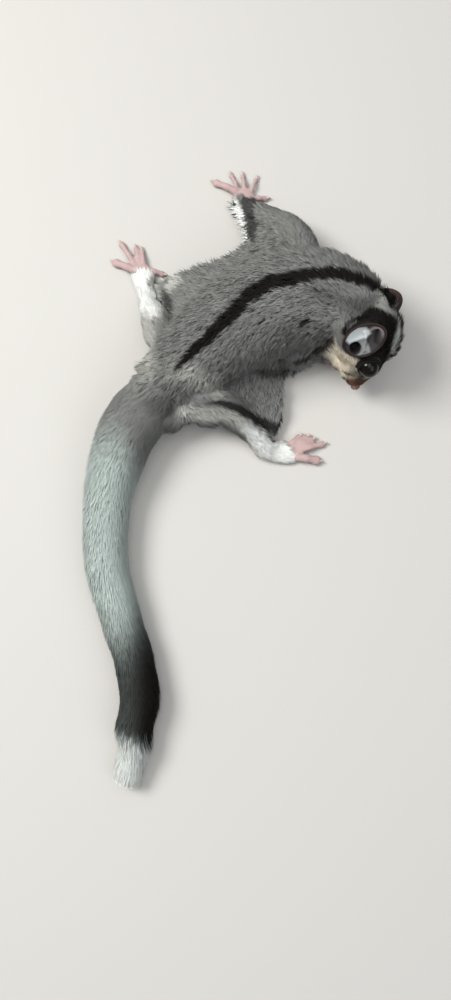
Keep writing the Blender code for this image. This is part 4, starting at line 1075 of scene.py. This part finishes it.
# ---- shader wiring ----
class Wire:
    # a socket in sums: an expression on numbers adds its Math nodes
    tree = None

    def __init__(self, socket):
        self.socket = socket

    def maths(self, kind, first, second):
        return Wire.node("ShaderNodeMath", {"operation": kind}, {0: first, 1: second})

    def __add__(self, other): return self.maths("ADD", self, other)
    def __radd__(self, other): return self.maths("ADD", other, self)
    def __sub__(self, other): return self.maths("SUBTRACT", self, other)
    def __rsub__(self, other): return self.maths("SUBTRACT", other, self)
    def __mul__(self, other): return self.maths("MULTIPLY", self, other)
    def __rmul__(self, other): return self.maths("MULTIPLY", other, self)
    def __pow__(self, other): return self.maths("POWER", self, other)

    @staticmethod
    def node(kind, settings, values, out=0):
        # any node: its settings go in first, then the values or links of its sockets
        made = Wire.tree.nodes.new(kind)
        for name, value in settings.items():
            if name == "stops":
                while len(made.color_ramp.elements) < len(value):
                    made.color_ramp.elements.new(0.5)
                for stop, (at, colour) in zip(made.color_ramp.elements, value):
                    stop.position = at
                    stop.color = (*colour, 1)
            else:
                setattr(made, name, value)
        for key, value in values.items():
            if isinstance(value, Wire):
                Wire.tree.links.new(value.socket, made.inputs[key])
            else:
                made.inputs[key].default_value = value
        return Wire(made.outputs[out])


def blendColour(factor, first, second, how="MIX"):
    values = {0: factor}
    for key, colour in ((6, first), (7, second)):
        values[key] = colour if isinstance(colour, Wire) else (*colour, 1)
    return Wire.node("ShaderNodeMix", {"data_type": "RGBA", "blend_type": how}, values, 2)


def attribute(name, out="Fac"):
    return Wire.node("ShaderNodeAttribute", {"attribute_name": name}, {}, out)


def noise(scale, detail=2.0, roughness=0.5, vector=None):
    values = {"Scale": scale, "Detail": detail, "Roughness": roughness}
    if vector is not None:
        values["Vector"] = vector
    return Wire.node("ShaderNodeTexNoise", {}, values, 0)


def newMaterial(name):
    material = bpy.data.materials.new(name)
    material.use_nodes = True
    Wire.tree = material.node_tree
    return material, material.node_tree.nodes["Principled BSDF"]


def feed(shader, key, value):
    if isinstance(value, Wire):
        Wire.tree.links.new(value.socket, shader.inputs[key])
    else:
        shader.inputs[key].default_value = value


coatColours = {
    "grey": (0.205, 0.208, 0.201),
    # paler fur, also laid down as a painted sheen
    "pale": (0.46, 0.46, 0.43),
    # darker fur, also laid down as painted shade
    "dark": (0.028, 0.027, 0.026),
    "black": (0.0095, 0.0082, 0.0078),
    "white": (0.765, 0.775, 0.757),
    "cream": (0.745, 0.662, 0.535),
    "frost": (0.455, 0.525, 0.505),
    "snout": (0.20, 0.11, 0.076),
}


def coatColour(grain):
    # the markings laid over each other, lightest hair last, then the salt and pepper of single hairs
    tone = coatColours
    colour = blendColour(attribute("pale"), tone["grey"], tone["pale"])
    colour = blendColour(attribute("frost"), colour, tone["frost"])
    colour = blendColour(attribute("dark"), colour, tone["dark"])
    colour = blendColour(attribute("cream"), colour, tone["cream"])
    colour = blendColour(attribute("white"), colour, tone["white"])
    colour = blendColour(attribute("snout"), colour, tone["snout"])
    colour = blendColour(attribute("black"), colour, tone["black"])
    return blendColour(1.0, colour, grain, "MULTIPLY")


def coatMaterial():
    material, shader = newMaterial("coat_hair")
    light = attribute("tone") * (1 + attribute("grain") * (noise(900.0, 2.0) - 0.5))
    grain = Wire.node("ShaderNodeCombineColor", {}, {0: light, 1: light, 2: light * 0.985})
    feed(shader, "Base Color", coatColour(grain))
    feed(shader, "Roughness", 0.7)
    feed(shader, "Specular IOR Level", 0.08)
    return material


skinColours = {"pink": (0.487, 0.386, 0.376), "flush": (0.43, 0.276, 0.262), "nose": (0.17, 0.10, 0.08),
               "lid": (0.008, 0.007, 0.007)}


def skinMaterial():
    # bare pink skin on paws and nose, markings of the coat under it elsewhere
    material, shader = newMaterial("bare_and_under_skin")
    tone = skinColours
    mottle = noise(420.0, 3.0)
    wrinkle = noise(1500.0, 4.0, 0.6)
    pink = blendColour(mottle, tone["pink"], tone["flush"])
    pink = blendColour(attribute("nosePad"), pink, tone["nose"])
    pink = blendColour(attribute("lid"), pink, tone["lid"])
    shade = 0.3 + 0.25 * mottle
    under = coatColour(Wire.node("ShaderNodeCombineColor", {}, {0: shade, 1: shade, 2: shade}))
    feed(shader, "Base Color", blendColour(attribute("bare"), under, pink))
    feed(shader, "Roughness", 0.48 + 0.2 * wrinkle + 0.3 * attribute("lid"))
    feed(shader, "Specular IOR Level", 0.16)
    bump = Wire.node("ShaderNodeBump", {}, {"Strength": 0.5, "Distance": 0.00018, "Height": wrinkle})
    feed(shader, "Normal", bump)
    return material


def earMaterial():
    material, shader = newMaterial("ear_skin")
    mottle = noise(600.0, 3.0)
    colour = blendColour(mottle, (0.020, 0.018, 0.019), (0.040, 0.035, 0.036))
    colour = blendColour(attribute("earFold"), colour, (0.26, 0.22, 0.22))
    colour = blendColour(attribute("earGrey"), colour, (0.17, 0.175, 0.18))
    # whitish back wall of the cup with a painted reflection
    colour = blendColour(attribute("earPale"), colour, (0.72, 0.76, 0.77))
    # painted shade along the furrow between the rims
    colour = blendColour(attribute("earGroove") * 0.9, colour, (0.012, 0.010, 0.011))
    # painted shade down the canal
    colour = blendColour(attribute("canal"), colour, (0.006, 0.005, 0.005))
    colour = blendColour(attribute("earRim"), colour, (0.014, 0.011, 0.011))
    colour = blendColour(attribute("earBack"), colour, (0.034, 0.017, 0.014))
    feed(shader, "Base Color", colour)
    feed(shader, "Roughness", 0.6 + 0.2 * mottle)
    feed(shader, "Specular IOR Level", 0.25)
    bump = Wire.node("ShaderNodeBump", {}, {"Strength": 0.4, "Distance": 0.0002, "Height": noise(1800.0, 3.0)})
    feed(shader, "Normal", bump)
    return material


def eyeMaterial():
    material, shader = newMaterial("eye_dark")
    ring = attribute("iris")
    grain = noise(1400.0, 3.0)
    colour = blendColour(ring, (0.003, 0.0022, 0.002), (0.0065, 0.004, 0.003))
    feed(shader, "Base Color", blendColour(grain * 0.4, colour, (0.002, 0.0015, 0.0015)))
    feed(shader, "Roughness", 0.06 + 0.05 * grain)
    feed(shader, "Specular IOR Level", 0.2)
    return material


def clawMaterial():
    material, shader = newMaterial("claw_horn")
    streak = noise(2500.0, 3.0)
    feed(shader, "Base Color", blendColour(streak, (0.42, 0.31, 0.27), (0.56, 0.45, 0.40)))
    feed(shader, "Roughness", 0.3 + 0.15 * streak)
    return material


def floorMaterial():
    material, shader = newMaterial("floor_plaster")
    cloud = noise(3.0, 4.0)
    fine = noise(300.0, 3.0)
    feed(shader, "Base Color", blendColour(cloud, (0.50, 0.485, 0.46), (0.55, 0.535, 0.51)))
    feed(shader, "Roughness", 0.75 + 0.1 * fine)
    feed(shader, "Normal", Wire.node("ShaderNodeBump", {}, {"Strength": 0.15, "Distance": 0.0003, "Height": fine}))
    return material


def paintPoints(obj, **masks):
    for name, values in masks.items():
        layer = obj.data.attributes.new(name, "FLOAT", "POINT")
        layer.data.foreach_set("value", np.asarray(values, np.float32))


def paintMarks(obj, marks):
    for k, name in enumerate(("black", "dark", "pale", "white", "cream", "frost", "snout")):
        paintPoints(obj, **{name: marks[:, k]})


# ---- tufts ----
tuftPlan = {
    "sink": 0.3,
    "skip": 0.35,        # share of tufts left loose from their clump
    "rootDark": 0.5,     # how much darker a tuft is at its root
    "floor": 0.12,
    "pastTail": 3.6,
}


def sampleRoots(skin, rng):
    # places spread over the furred skin, closer where the coat is finer
    mesh = skin.data
    mesh.calc_loop_triangles()
    tri = np.zeros(len(mesh.loop_triangles) * 3, np.int32)
    mesh.loop_triangles.foreach_get("vertices", tri)
    tri = tri.reshape(-1, 3)
    p = coordinates(mesh)
    n = normalsOf(mesh)
    a, b, c = p[tri[:, 0]], p[tri[:, 1]], p[tri[:, 2]]
    area = np.linalg.norm(np.cross(b - a, c - a), axis=1) / 2
    centre = (a + b + c) / 3
    weight, _ = shares(centre)
    thick = blended("thick", weight)
    h = toHead(centre)
    face = weight[:, partNames.index("head")] * ramp(h[:, 0], 2, 12)
    thick = thick * (1 + 1.2 * face) * (1 - ramp(bareMask(centre, weight, (0.64, 0.76)), 0.3, 0.8))
    wanted = area * thick
    total = np.cumsum(wanted)
    count = int(total[-1])
    picks = (np.arange(count) + rng.uniform(0, 1, count)) * total[-1] / count
    face = np.minimum(np.searchsorted(total, picks), len(tri) - 1)
    u = np.sqrt(rng.uniform(0, 1, count))[:, None]
    v = rng.uniform(0, 1, count)[:, None]
    wa, wb, wc = 1 - u, u * (1 - v), u * v
    t = tri[face]
    root = p[t[:, 0]] * wa + p[t[:, 1]] * wb + p[t[:, 2]] * wc
    normal = unit(n[t[:, 0]] * wa + n[t[:, 1]] * wb + n[t[:, 2]] * wc)
    return root, normal


def clumpOf(root, spacing, rng):
    # each root's clump: the nearest of a thinned choice of roots
    order = rng.permutation(len(root))
    cell = {}
    centres = []
    keys = np.floor(root / spacing[:, None]).astype(int)
    for i in order:
        key = (*keys[i], int(spacing[i] * 4))
        if key not in cell:
            cell[key] = i
            centres.append(i)
    tree = KDTree(len(centres))
    for j, i in enumerate(centres):
        tree.insert(root[i], j)
    tree.balance()
    mine = np.array([tree.find(r)[1] for r in root])
    return np.array(centres)[mine], mine, len(centres)


def growCoat(skin):
    rng = np.random.default_rng(11)
    root, normal = sampleRoots(skin, rng)
    weight, places = shares(root)
    owner = weight.argmax(1)
    depth, tail = coatDepth(root, weight)
    tail = tail * (1 - ramp(root[:, 1], 27.0, 33.0))
    # round the tail the hairs stand straight off its middle line
    far, at = nearest(parts["tail"], root)
    outward = root - parts["tail"]["points"][at]
    along = parts["tail"]["along"][at]
    outward = unit(outward - along * dots(outward, along)[:, None])
    normal = unit(normal * (1 - tail[:, None]) + outward * tail[:, None])
    lie = lieAt(root, normal, weight, places)
    long = blended("long", weight)
    wide = blended("wide", weight)
    h = toHead(root)
    onHead = weight[:, partNames.index("head")]
    face = onHead * ramp(h[:, 0], 0, 13)
    long = long * (1 - 0.58 * face)
    wide = wide * (1 - 0.35 * face)
    # the tail's coat reaches out to the tail's own radius
    run = parts["tail"]["run"][at]
    fromEnd = parts["tail"]["run"][-1] - run
    slim = 1 - 0.30 * np.exp(-((fromEnd - 15) / 5.5) ** 2) - 0.22 * (1 - ramp(fromEnd, 0, 12))
    room = parts["tail"]["radius"][at] * (1 - np.minimum(far, 1.0)) * slim
    crest = 1.4 * onHead * ramp(h[:, 1], 9.5, 13.0) * (1 - ramp(h[:, 0], 2, 8))
    crest = crest + 0.4 * (1 - tail) * np.exp(-(np.linalg.norm(root - (53.0, 63.0, 27.0), axis=1) / 10.0) ** 2)
    depth = depth * (1 - tail) + room * tail + crest
    long = long + 1.8 * crest
    # short hair where the left thigh meets the rump
    y = root[:, 1]
    edge = ramp(y, 27.0, 33.0) * (1 - ramp(y, 42.0, 50.0)) * ramp(-root[:, 0], 35.5, 39.5)
    depth = depth * (1 - 0.6 * edge)
    long = long * (1 - 0.45 * edge)
    # cheek and sleeve edge lie smooth
    calm = inside(h[:, 0], h[:, 1], markPlan["cheek"], 0.9) * onHead
    calm = np.maximum(calm, stroke(root, normal, markPlan["fringeLeft"], 1.5, 8.0))
    calm = np.maximum(calm, onHead * ramp(h[:, 1], 9.5, 13.0))
    for side in (-1, 1):
        x, y, z = toEar(h, side).T
        under = (1 - ramp(earReach(x, y), 1.0, 1.25)) * ramp(z, -9.0, -7.5) * onHead
        depth = depth * (1 - 0.75 * under)
        long = long * (1 - 0.55 * under)
    print("roots", len(root))

    swing = blended("swing", weight) * (1 - 0.8 * calm) * (ripple(root, 8.0, 21) * 0.5 + ripple(root, 2.6, 22) * 0.8)
    across = np.cross(normal, lie)
    lie = unit(lie * np.cos(swing)[:, None] + across * np.sin(swing)[:, None])
    across = np.cross(normal, lie)

    spacing = blended("clump", weight) * (1 - 0.4 * face)
    leader, clump, clumps = clumpOf(root, spacing, rng)
    clumpLift = rng.normal(0, 1, clumps)[clump]
    clumpTurn = rng.normal(0, 1, clumps)[clump]
    clumpTint = rng.uniform(0, 1, clumps)[clump]
    print("clumps", clumps)

    spread = blended("spread", weight) * (1 - 0.7 * calm)
    lift = 1 + spread * (0.55 * clumpLift + 0.45 * rng.normal(0, 1, len(root)) + 0.4 * ripple(root, 7.0, 23))
    lift = np.clip(lift, 0.45, 1.35)
    height = depth * lift + 0.12
    reach = long * np.clip(1 + 0.14 * rng.normal(0, 1, len(root)), 0.6, 1.35)
    reach = np.maximum(np.sqrt(np.maximum(reach ** 2 - height ** 2, 0.2)), height * 0.9)
    # the last hairs of the tail stop at its tip, those of its root are shorter
    left = parts["tail"]["run"][-1] + tuftPlan["pastTail"] - run
    reach = reach * (1 - tail) + np.minimum(reach * (0.55 + 0.45 * ramp(run, 5, 45)), np.maximum(left, 2.0)) * tail
    turn = spread * (0.9 * clumpTurn + 0.7 * rng.normal(0, 1, len(root)))
    way = unit(lie * np.cos(turn)[:, None] + across * np.sin(turn)[:, None])
    tip = root + normal * height[:, None] + way * reach[:, None]
    # tips follow the curve of the body instead of flying off it
    sag = np.zeros(len(root))
    for k, name in enumerate(partNames):
        if parts[name]["kind"] == "round":
            radius = np.maximum(parts[name]["radius"][places[k]], 3.0)
            side = 1 - np.abs(dots(way, parts[name]["along"][places[k]]))
            sag += weight[:, k] * side * reach ** 2 / (2 * radius)
    tip -= normal * np.minimum(sag, height * 0.9)[:, None]

    loose = rng.uniform(0, 1, len(root)) < tuftPlan["skip"]
    pull = blended("pull", weight) * (1 - 0.8 * calm) * np.where(loose, 0.2, rng.uniform(0.6, 1.25, len(root)))
    lead = tip[leader] - tip
    lead *= np.minimum(1.0, 2.2 * spacing / np.maximum(np.linalg.norm(lead, axis=1), 1e-6))[:, None]
    tip = tip + lead * pull[:, None]
    bend = root + normal * (height * 0.78)[:, None] + way * (reach * 0.28)[:, None] + lead * (pull * 0.25)[:, None]
    start = root - normal * tuftPlan["sink"]

    # the tail's last bend
    for q in (start, bend, tip):
        q[:, 0] -= 2.2 * tail * np.exp(-((q[:, 1] + 106) / 6.5) ** 2)
    seen = root + way * (reach * 0.6)[:, None]
    marks = readMarks(seen, normal, weight)
    # on the tail the colour changes along each hair
    atRoot = marks + (readMarks(root, normal, weight) - marks) * tail[:, None]
    atTip = marks + (readMarks(tip, normal, weight) - marks) * tail[:, None]
    vary = blended("vary", weight)
    # the low cheek lies in shade; its fur is painted a third lighter to make up for it: painted light
    lowCheekPaintedLight = marks[:, 4] * onHead * ramp(h[:, 0], 1, 6)
    vary = vary * (1 - 0.7 * lowCheekPaintedLight)
    tint = (1 + vary * (clumpTint + rng.uniform(0, 1, len(root)) - 1)) * (1 + 0.33 * lowCheekPaintedLight)
    wide = wide * rng.uniform(0.75, 1.25, len(root))
    soft = blended("soft", weight)
    soft = soft + (1 - soft) * calm
    # white and cream hair is light down to its root
    light = np.maximum(marks[:, 3], marks[:, 4])
    deep = tuftPlan["rootDark"] * np.minimum(1.0, 0.35 + 1.3 * vary) * (1 - 0.6 * light)
    return {"start": start, "bend": bend, "tip": tip, "normal": normal, "way": way, "wide": wide, "owner": owner,
            "marks": marks, "marksRoot": atRoot, "marksTip": atTip, "tint": tint, "deep": deep, "vary": vary * (1 - 0.5 * light), "root": root,
            "soft": soft, "roll": rng.normal(0, 0.35, len(root))}


def tuftMesh(name, coat, pick, stops):
    # three-sided tufts that bend over and taper to a point, closed at the root
    count = len(pick)
    start, bend, tip = coat["start"][pick], coat["bend"][pick], coat["tip"][pick]
    normal, way = coat["normal"][pick], coat["way"][pick]
    side = np.cross(normal, way)
    roll = coat["roll"][pick][:, None]
    flat = unit(side * np.cos(roll) + normal * np.sin(roll))
    ridge = unit(np.cross(way, flat)) * -1
    ridge *= np.sign(dots(ridge, normal))[:, None]
    wide = coat["wide"][pick][:, None]
    soft = coat["soft"][pick][:, None]
    rings, along, shading = [], [], []
    for t, width in stops:
        middle = (1 - t) ** 2 * start + 2 * t * (1 - t) * bend + t * t * tip
        rings += [middle - flat * wide * width / 2, middle + flat * wide * width / 2, middle + ridge * wide * width * 0.36]
        along += [t, t, t]
        # a soft coat is lit as one surface, so its shading leans from the tuft's own sides to the skin's
        shading += [unit(normal * soft + side * (1 - soft)) for side in (-flat, flat, ridge)]
    rings.append(tip)
    along.append(1.0)
    shading.append(unit(normal * soft + way * (1 - soft) * 0.5))
    points = np.stack(rings, 1)
    perTuft = points.shape[1]
    points = points.reshape(-1, 3)
    points[:, 2] = np.maximum(points[:, 2], tuftPlan["floor"])
    faces = [(0, 1, 2)]
    for r in range(len(stops) - 1):
        a, b = 3 * r, 3 * r + 3
        for i, j in ((0, 1), (1, 2), (2, 0)):
            faces += [(a + i, b + j, a + j), (a + i, b + i, b + j)]
    top = perTuft - 1
    a = 3 * (len(stops) - 1)
    faces += [(a + i, top, a + j) for i, j in ((0, 1), (1, 2), (2, 0))]
    faces = np.array(faces)[:, ::-1]
    allFaces = (faces[None] + (np.arange(count) * perTuft)[:, None, None]).reshape(-1, 3)
    obj = meshFrom(name, points, allFaces)
    obj.data.normals_split_custom_set_from_vertices(np.stack(shading, 1).reshape(-1, 3))
    t = np.array(along)[None, :, None]
    marks = coat["marksRoot"][pick][:, None] * (1 - t) + coat["marksTip"][pick][:, None] * t
    paintMarks(obj, marks.reshape(-1, marks.shape[2]))
    rootShade = 1 - coat["deep"][pick][:, None] * (1 - np.array(along)) ** 0.9
    paintPoints(obj, tone=(rootShade * coat["tint"][pick][:, None]).ravel(),
                grain=np.repeat(coat["vary"][pick] * 0.8, perTuft))

    # a small patch of the map for each tuft, at its root's place on the unwrapped part
    owner = partNames[coat["owner"][pick[0]]]
    part = parts[owner]
    root = coat["root"][pick]
    if part["kind"] == "round":
        u, v = roundCoords(part, root)
        place2d = chartIn((0.01, 0.01, 0.99, 0.98), u, v)
    else:
        top = normal[:, 2] > 0
        place2d = np.zeros((count, 2))
        for group, box in ((top, (0.01, 0.01, 0.49, 0.98)), (~top, (0.51, 0.01, 0.99, 0.98))):
            if group.any():
                place2d[group] = chartIn(box, root[group, 0], root[group, 1])
    patch = 0.003
    offsets = []
    for t, width in stops:
        offsets += [(-patch / 2, t * patch), (patch / 2, t * patch), (0.0, t * patch)]
    offsets.append((0.0, patch))
    uv = (place2d[:, None] + np.array(offsets)[None]).reshape(-1, 2)
    layer = obj.data.uv_layers.new(name="OFBake")
    corner = np.zeros(len(obj.data.loops), np.int32)
    obj.data.loops.foreach_get("vertex_index", corner)
    layer.data.foreach_set("uv", uv[corner].astype(np.float32).ravel())
    return obj


shortStops = [(0.0, 1.0), (0.55, 0.82)]
longStops = [(0.0, 1.0), (0.5, 0.86)]
coatPieces = {"trunk": 5, "head": 2, "tail": 3}      # other parts have one piece
partWords = {"trunk": "trunk", "head": "head", "tail": "tail", "armLeft": "left_arm", "armRight": "right_arm",
             "legLeft": "left_leg", "legRight": "right_leg", "membraneLeft": "left_flap", "membraneRight": "right_flap",
             "handLeft": "left_hand", "handRight": "right_hand", "footLeft": "left_foot", "footRight": "right_foot"}


def makeCoat(skin, material):
    coat = growCoat(skin)
    made = []
    for k, name in enumerate(partNames):
        mine = np.where(coat["owner"] == k)[0]
        if len(mine) < 10:
            continue
        run, _ = roundCoords(parts[name], coat["root"][mine]) if parts[name]["kind"] == "round" else (mine, 0)
        mine = mine[np.argsort(run, kind="stable")]
        stops = longStops if name == "tail" else shortStops
        groups = np.array_split(mine, coatPieces.get(name, 1))
        for i, group in enumerate(groups):
            label = "coat_" + partWords[name] + (f"_{i + 1}" if len(groups) > 1 else "")
            obj = tuftMesh(label, coat, group, stops)
            obj.data.materials.append(material)
            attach(obj, "root")
            "tail_coat" if name == "tail" else "coat"
            print(label, len(group), "tufts", len(obj.data.polygons), "triangles")
            made.append(obj)
    return made


# ---- eyes, claws ----
def makeEye(name, side, material):
    middle = np.array(headPlan["eye"]) * (1, 1, side)
    way = unit(np.array(headPlan["eyeWay"]) * (1, 1, side))
    across = unit(np.cross(way, (1.0, 0, 0)))
    ways = np.array((across, np.cross(way, across), way))
    points, faces = ball(middle, (headPlan["eyeRadius"],) * 3, ways, 40, 56)
    lead = (points - middle) @ way / headPlan["eyeRadius"]
    points = points + way * (0.35 * ramp(lead, 0.55, 1.0))[:, None]
    obj = gather("eye_ball_" + name, [(fromHead(points), faces)])
    paintPoints(obj, iris=ramp(lead, 0.6, 0.75) * (1 - ramp(lead, 0.86, 0.92)))
    obj.data.materials.append(material)
    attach(obj, "root")
    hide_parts("eye_" + name)
    return obj


def makeClaws(material):
    lumps = []
    for plan in pawPlan.values():
        for x0, y0, x1, y1, r in plan["digits"]:
            way = unit((x1 - x0, y1 - y0, 0))
            tip = np.array((x1, y1, r - 0.15)) - way + shift
            rows = [(*(tip + way * r * 0.5 + (0, 0, 0.45)), 0.42), (*(tip + way * (r * 0.8 + 0.6) + (0, 0, 0.6)), 0.40),
                    (*(tip + way * (r + plan["claw"] * 0.75) + (0, 0, 0.25)), 0.26),
                    (*(tip + way * (r + plan["claw"] * 1.02) + (0, 0, -r * 0.5)), 0.08)]
            lumps.append(tube([(*row[:4], row[3] * 1.25) for row in rows], 12, 10))
    obj = gather("claws", lumps)
    co = coordinates(obj.data)
    co[:, 2] = np.maximum(co[:, 2], 0.05)
    place(obj.data, co)
    obj.data.materials.append(material)
    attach(obj, "root")
    return obj


# ---- build ----
print("skin")
skin = makeSkin()
print("skin faces", len(skin.data.polygons))
shrinkSkin(skin)
smoothCheeks(skin)
refineFace(skin)
seatEars(skin)
shapeFace(skin)
openLids(skin)
unwrapSkin(skin)
skinPoints = coordinates(skin.data)
skinWeight, _ = shares(skinPoints)
skinNormals = normalsOf(skin.data)
paintMarks(skin, readMarks(skinPoints, skinNormals, skinWeight))
headSpot = toHead(skinPoints)
noseFar = np.linalg.norm((headSpot - (20.2, -4.6, 0)) / (2.9, 2.5, 2.8), axis=1)
lidFar = np.minimum(np.linalg.norm(headSpot - headPlan["eye"], axis=1),
                    np.linalg.norm(headSpot - np.array(headPlan["eye"]) * (1, 1, -1), axis=1))
paintPoints(skin, bare=bareMask(skinPoints, skinWeight, None), nosePad=1 - ramp(noseFar, 0.8, 1.2), lid=1 - ramp(lidFar, 5.4, 5.9))
skin.data.materials.append(skinMaterial())
skin.data.polygons.foreach_set("use_smooth", np.ones(len(skin.data.polygons), bool))
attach(skin, "root")

print("ears")
earSkin = earMaterial()
makeEar("left", -1, earSkin)
makeEar("right", 1, earSkin)

print("coat")
makeCoat(skin, coatMaterial())
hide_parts(*[name for name in nodes if not name.startswith(("eye_", "ear_"))])

print("eyes and claws")
eyeDark = eyeMaterial()
makeEye("left", -1, eyeDark)
makeEye("right", 1, eyeDark)
makeClaws(clawMaterial())

# ---- floor, light and camera ----
print("studio")
studioPlan = {
    "sky": ((0.80, 0.83, 0.86), 0.42),
    # name, place in metres, width, watts, colour
    "lamps": [("key", (-0.55, 0.20, 0.75), 0.45, 9.5, (1.0, 0.985, 0.96)),
              ("fill", (0.55, -0.35, 0.80), 0.7, 2.2, (0.95, 0.98, 1.0)),
              ("top", (0.0, 0.1, 1.1), 0.8, 3.5, (1.0, 1.0, 1.0))],
}
bm = bmesh.new()
bmesh.ops.create_grid(bm, x_segments=24, y_segments=24, size=3.0)
floorMesh = bpy.data.meshes.new("floor")
bm.to_mesh(floorMesh)
bm.free()
floor = bpy.data.objects.new("floor", floorMesh)
bpy.context.scene.collection.objects.link(floor)
floor.data.materials.append(floorMaterial())

for name, spot, width, watts, colour in studioPlan["lamps"]:
    lamp = bpy.data.lights.new(name, "AREA")
    lamp.shape = "DISK"
    lamp.size = width
    lamp.energy = watts
    lamp.color = colour
    holder = bpy.data.objects.new(name, lamp)
    holder.location = spot
    holder.rotation_euler = (Vector((0, 0, 0.02)) - Vector(spot)).to_track_quat("-Z", "Y").to_euler()
    bpy.context.scene.collection.objects.link(holder)

world = bpy.data.worlds.new("studio_air")
world.use_nodes = True
sky, strength = studioPlan["sky"]
world.node_tree.nodes["Background"].inputs[0].default_value = (*sky, 1)
world.node_tree.nodes["Background"].inputs[1].default_value = strength
bpy.context.scene.world = world
bpy.context.scene.view_settings.view_transform = "Standard"

camera = bpy.data.cameras.new("camera")
camera.sensor_fit = "VERTICAL"
camera.sensor_height = 36.0
camera.lens = 32.93
camera.clip_start = 0.01
holder = bpy.data.objects.new("camera", camera)
holder.location = (-0.0065, -0.0532, 0.37295)
holder.rotation_euler = (math.radians(6.0), 0.0, 0.0)
bpy.context.scene.collection.objects.link(holder)
bpy.context.scene.camera = holder
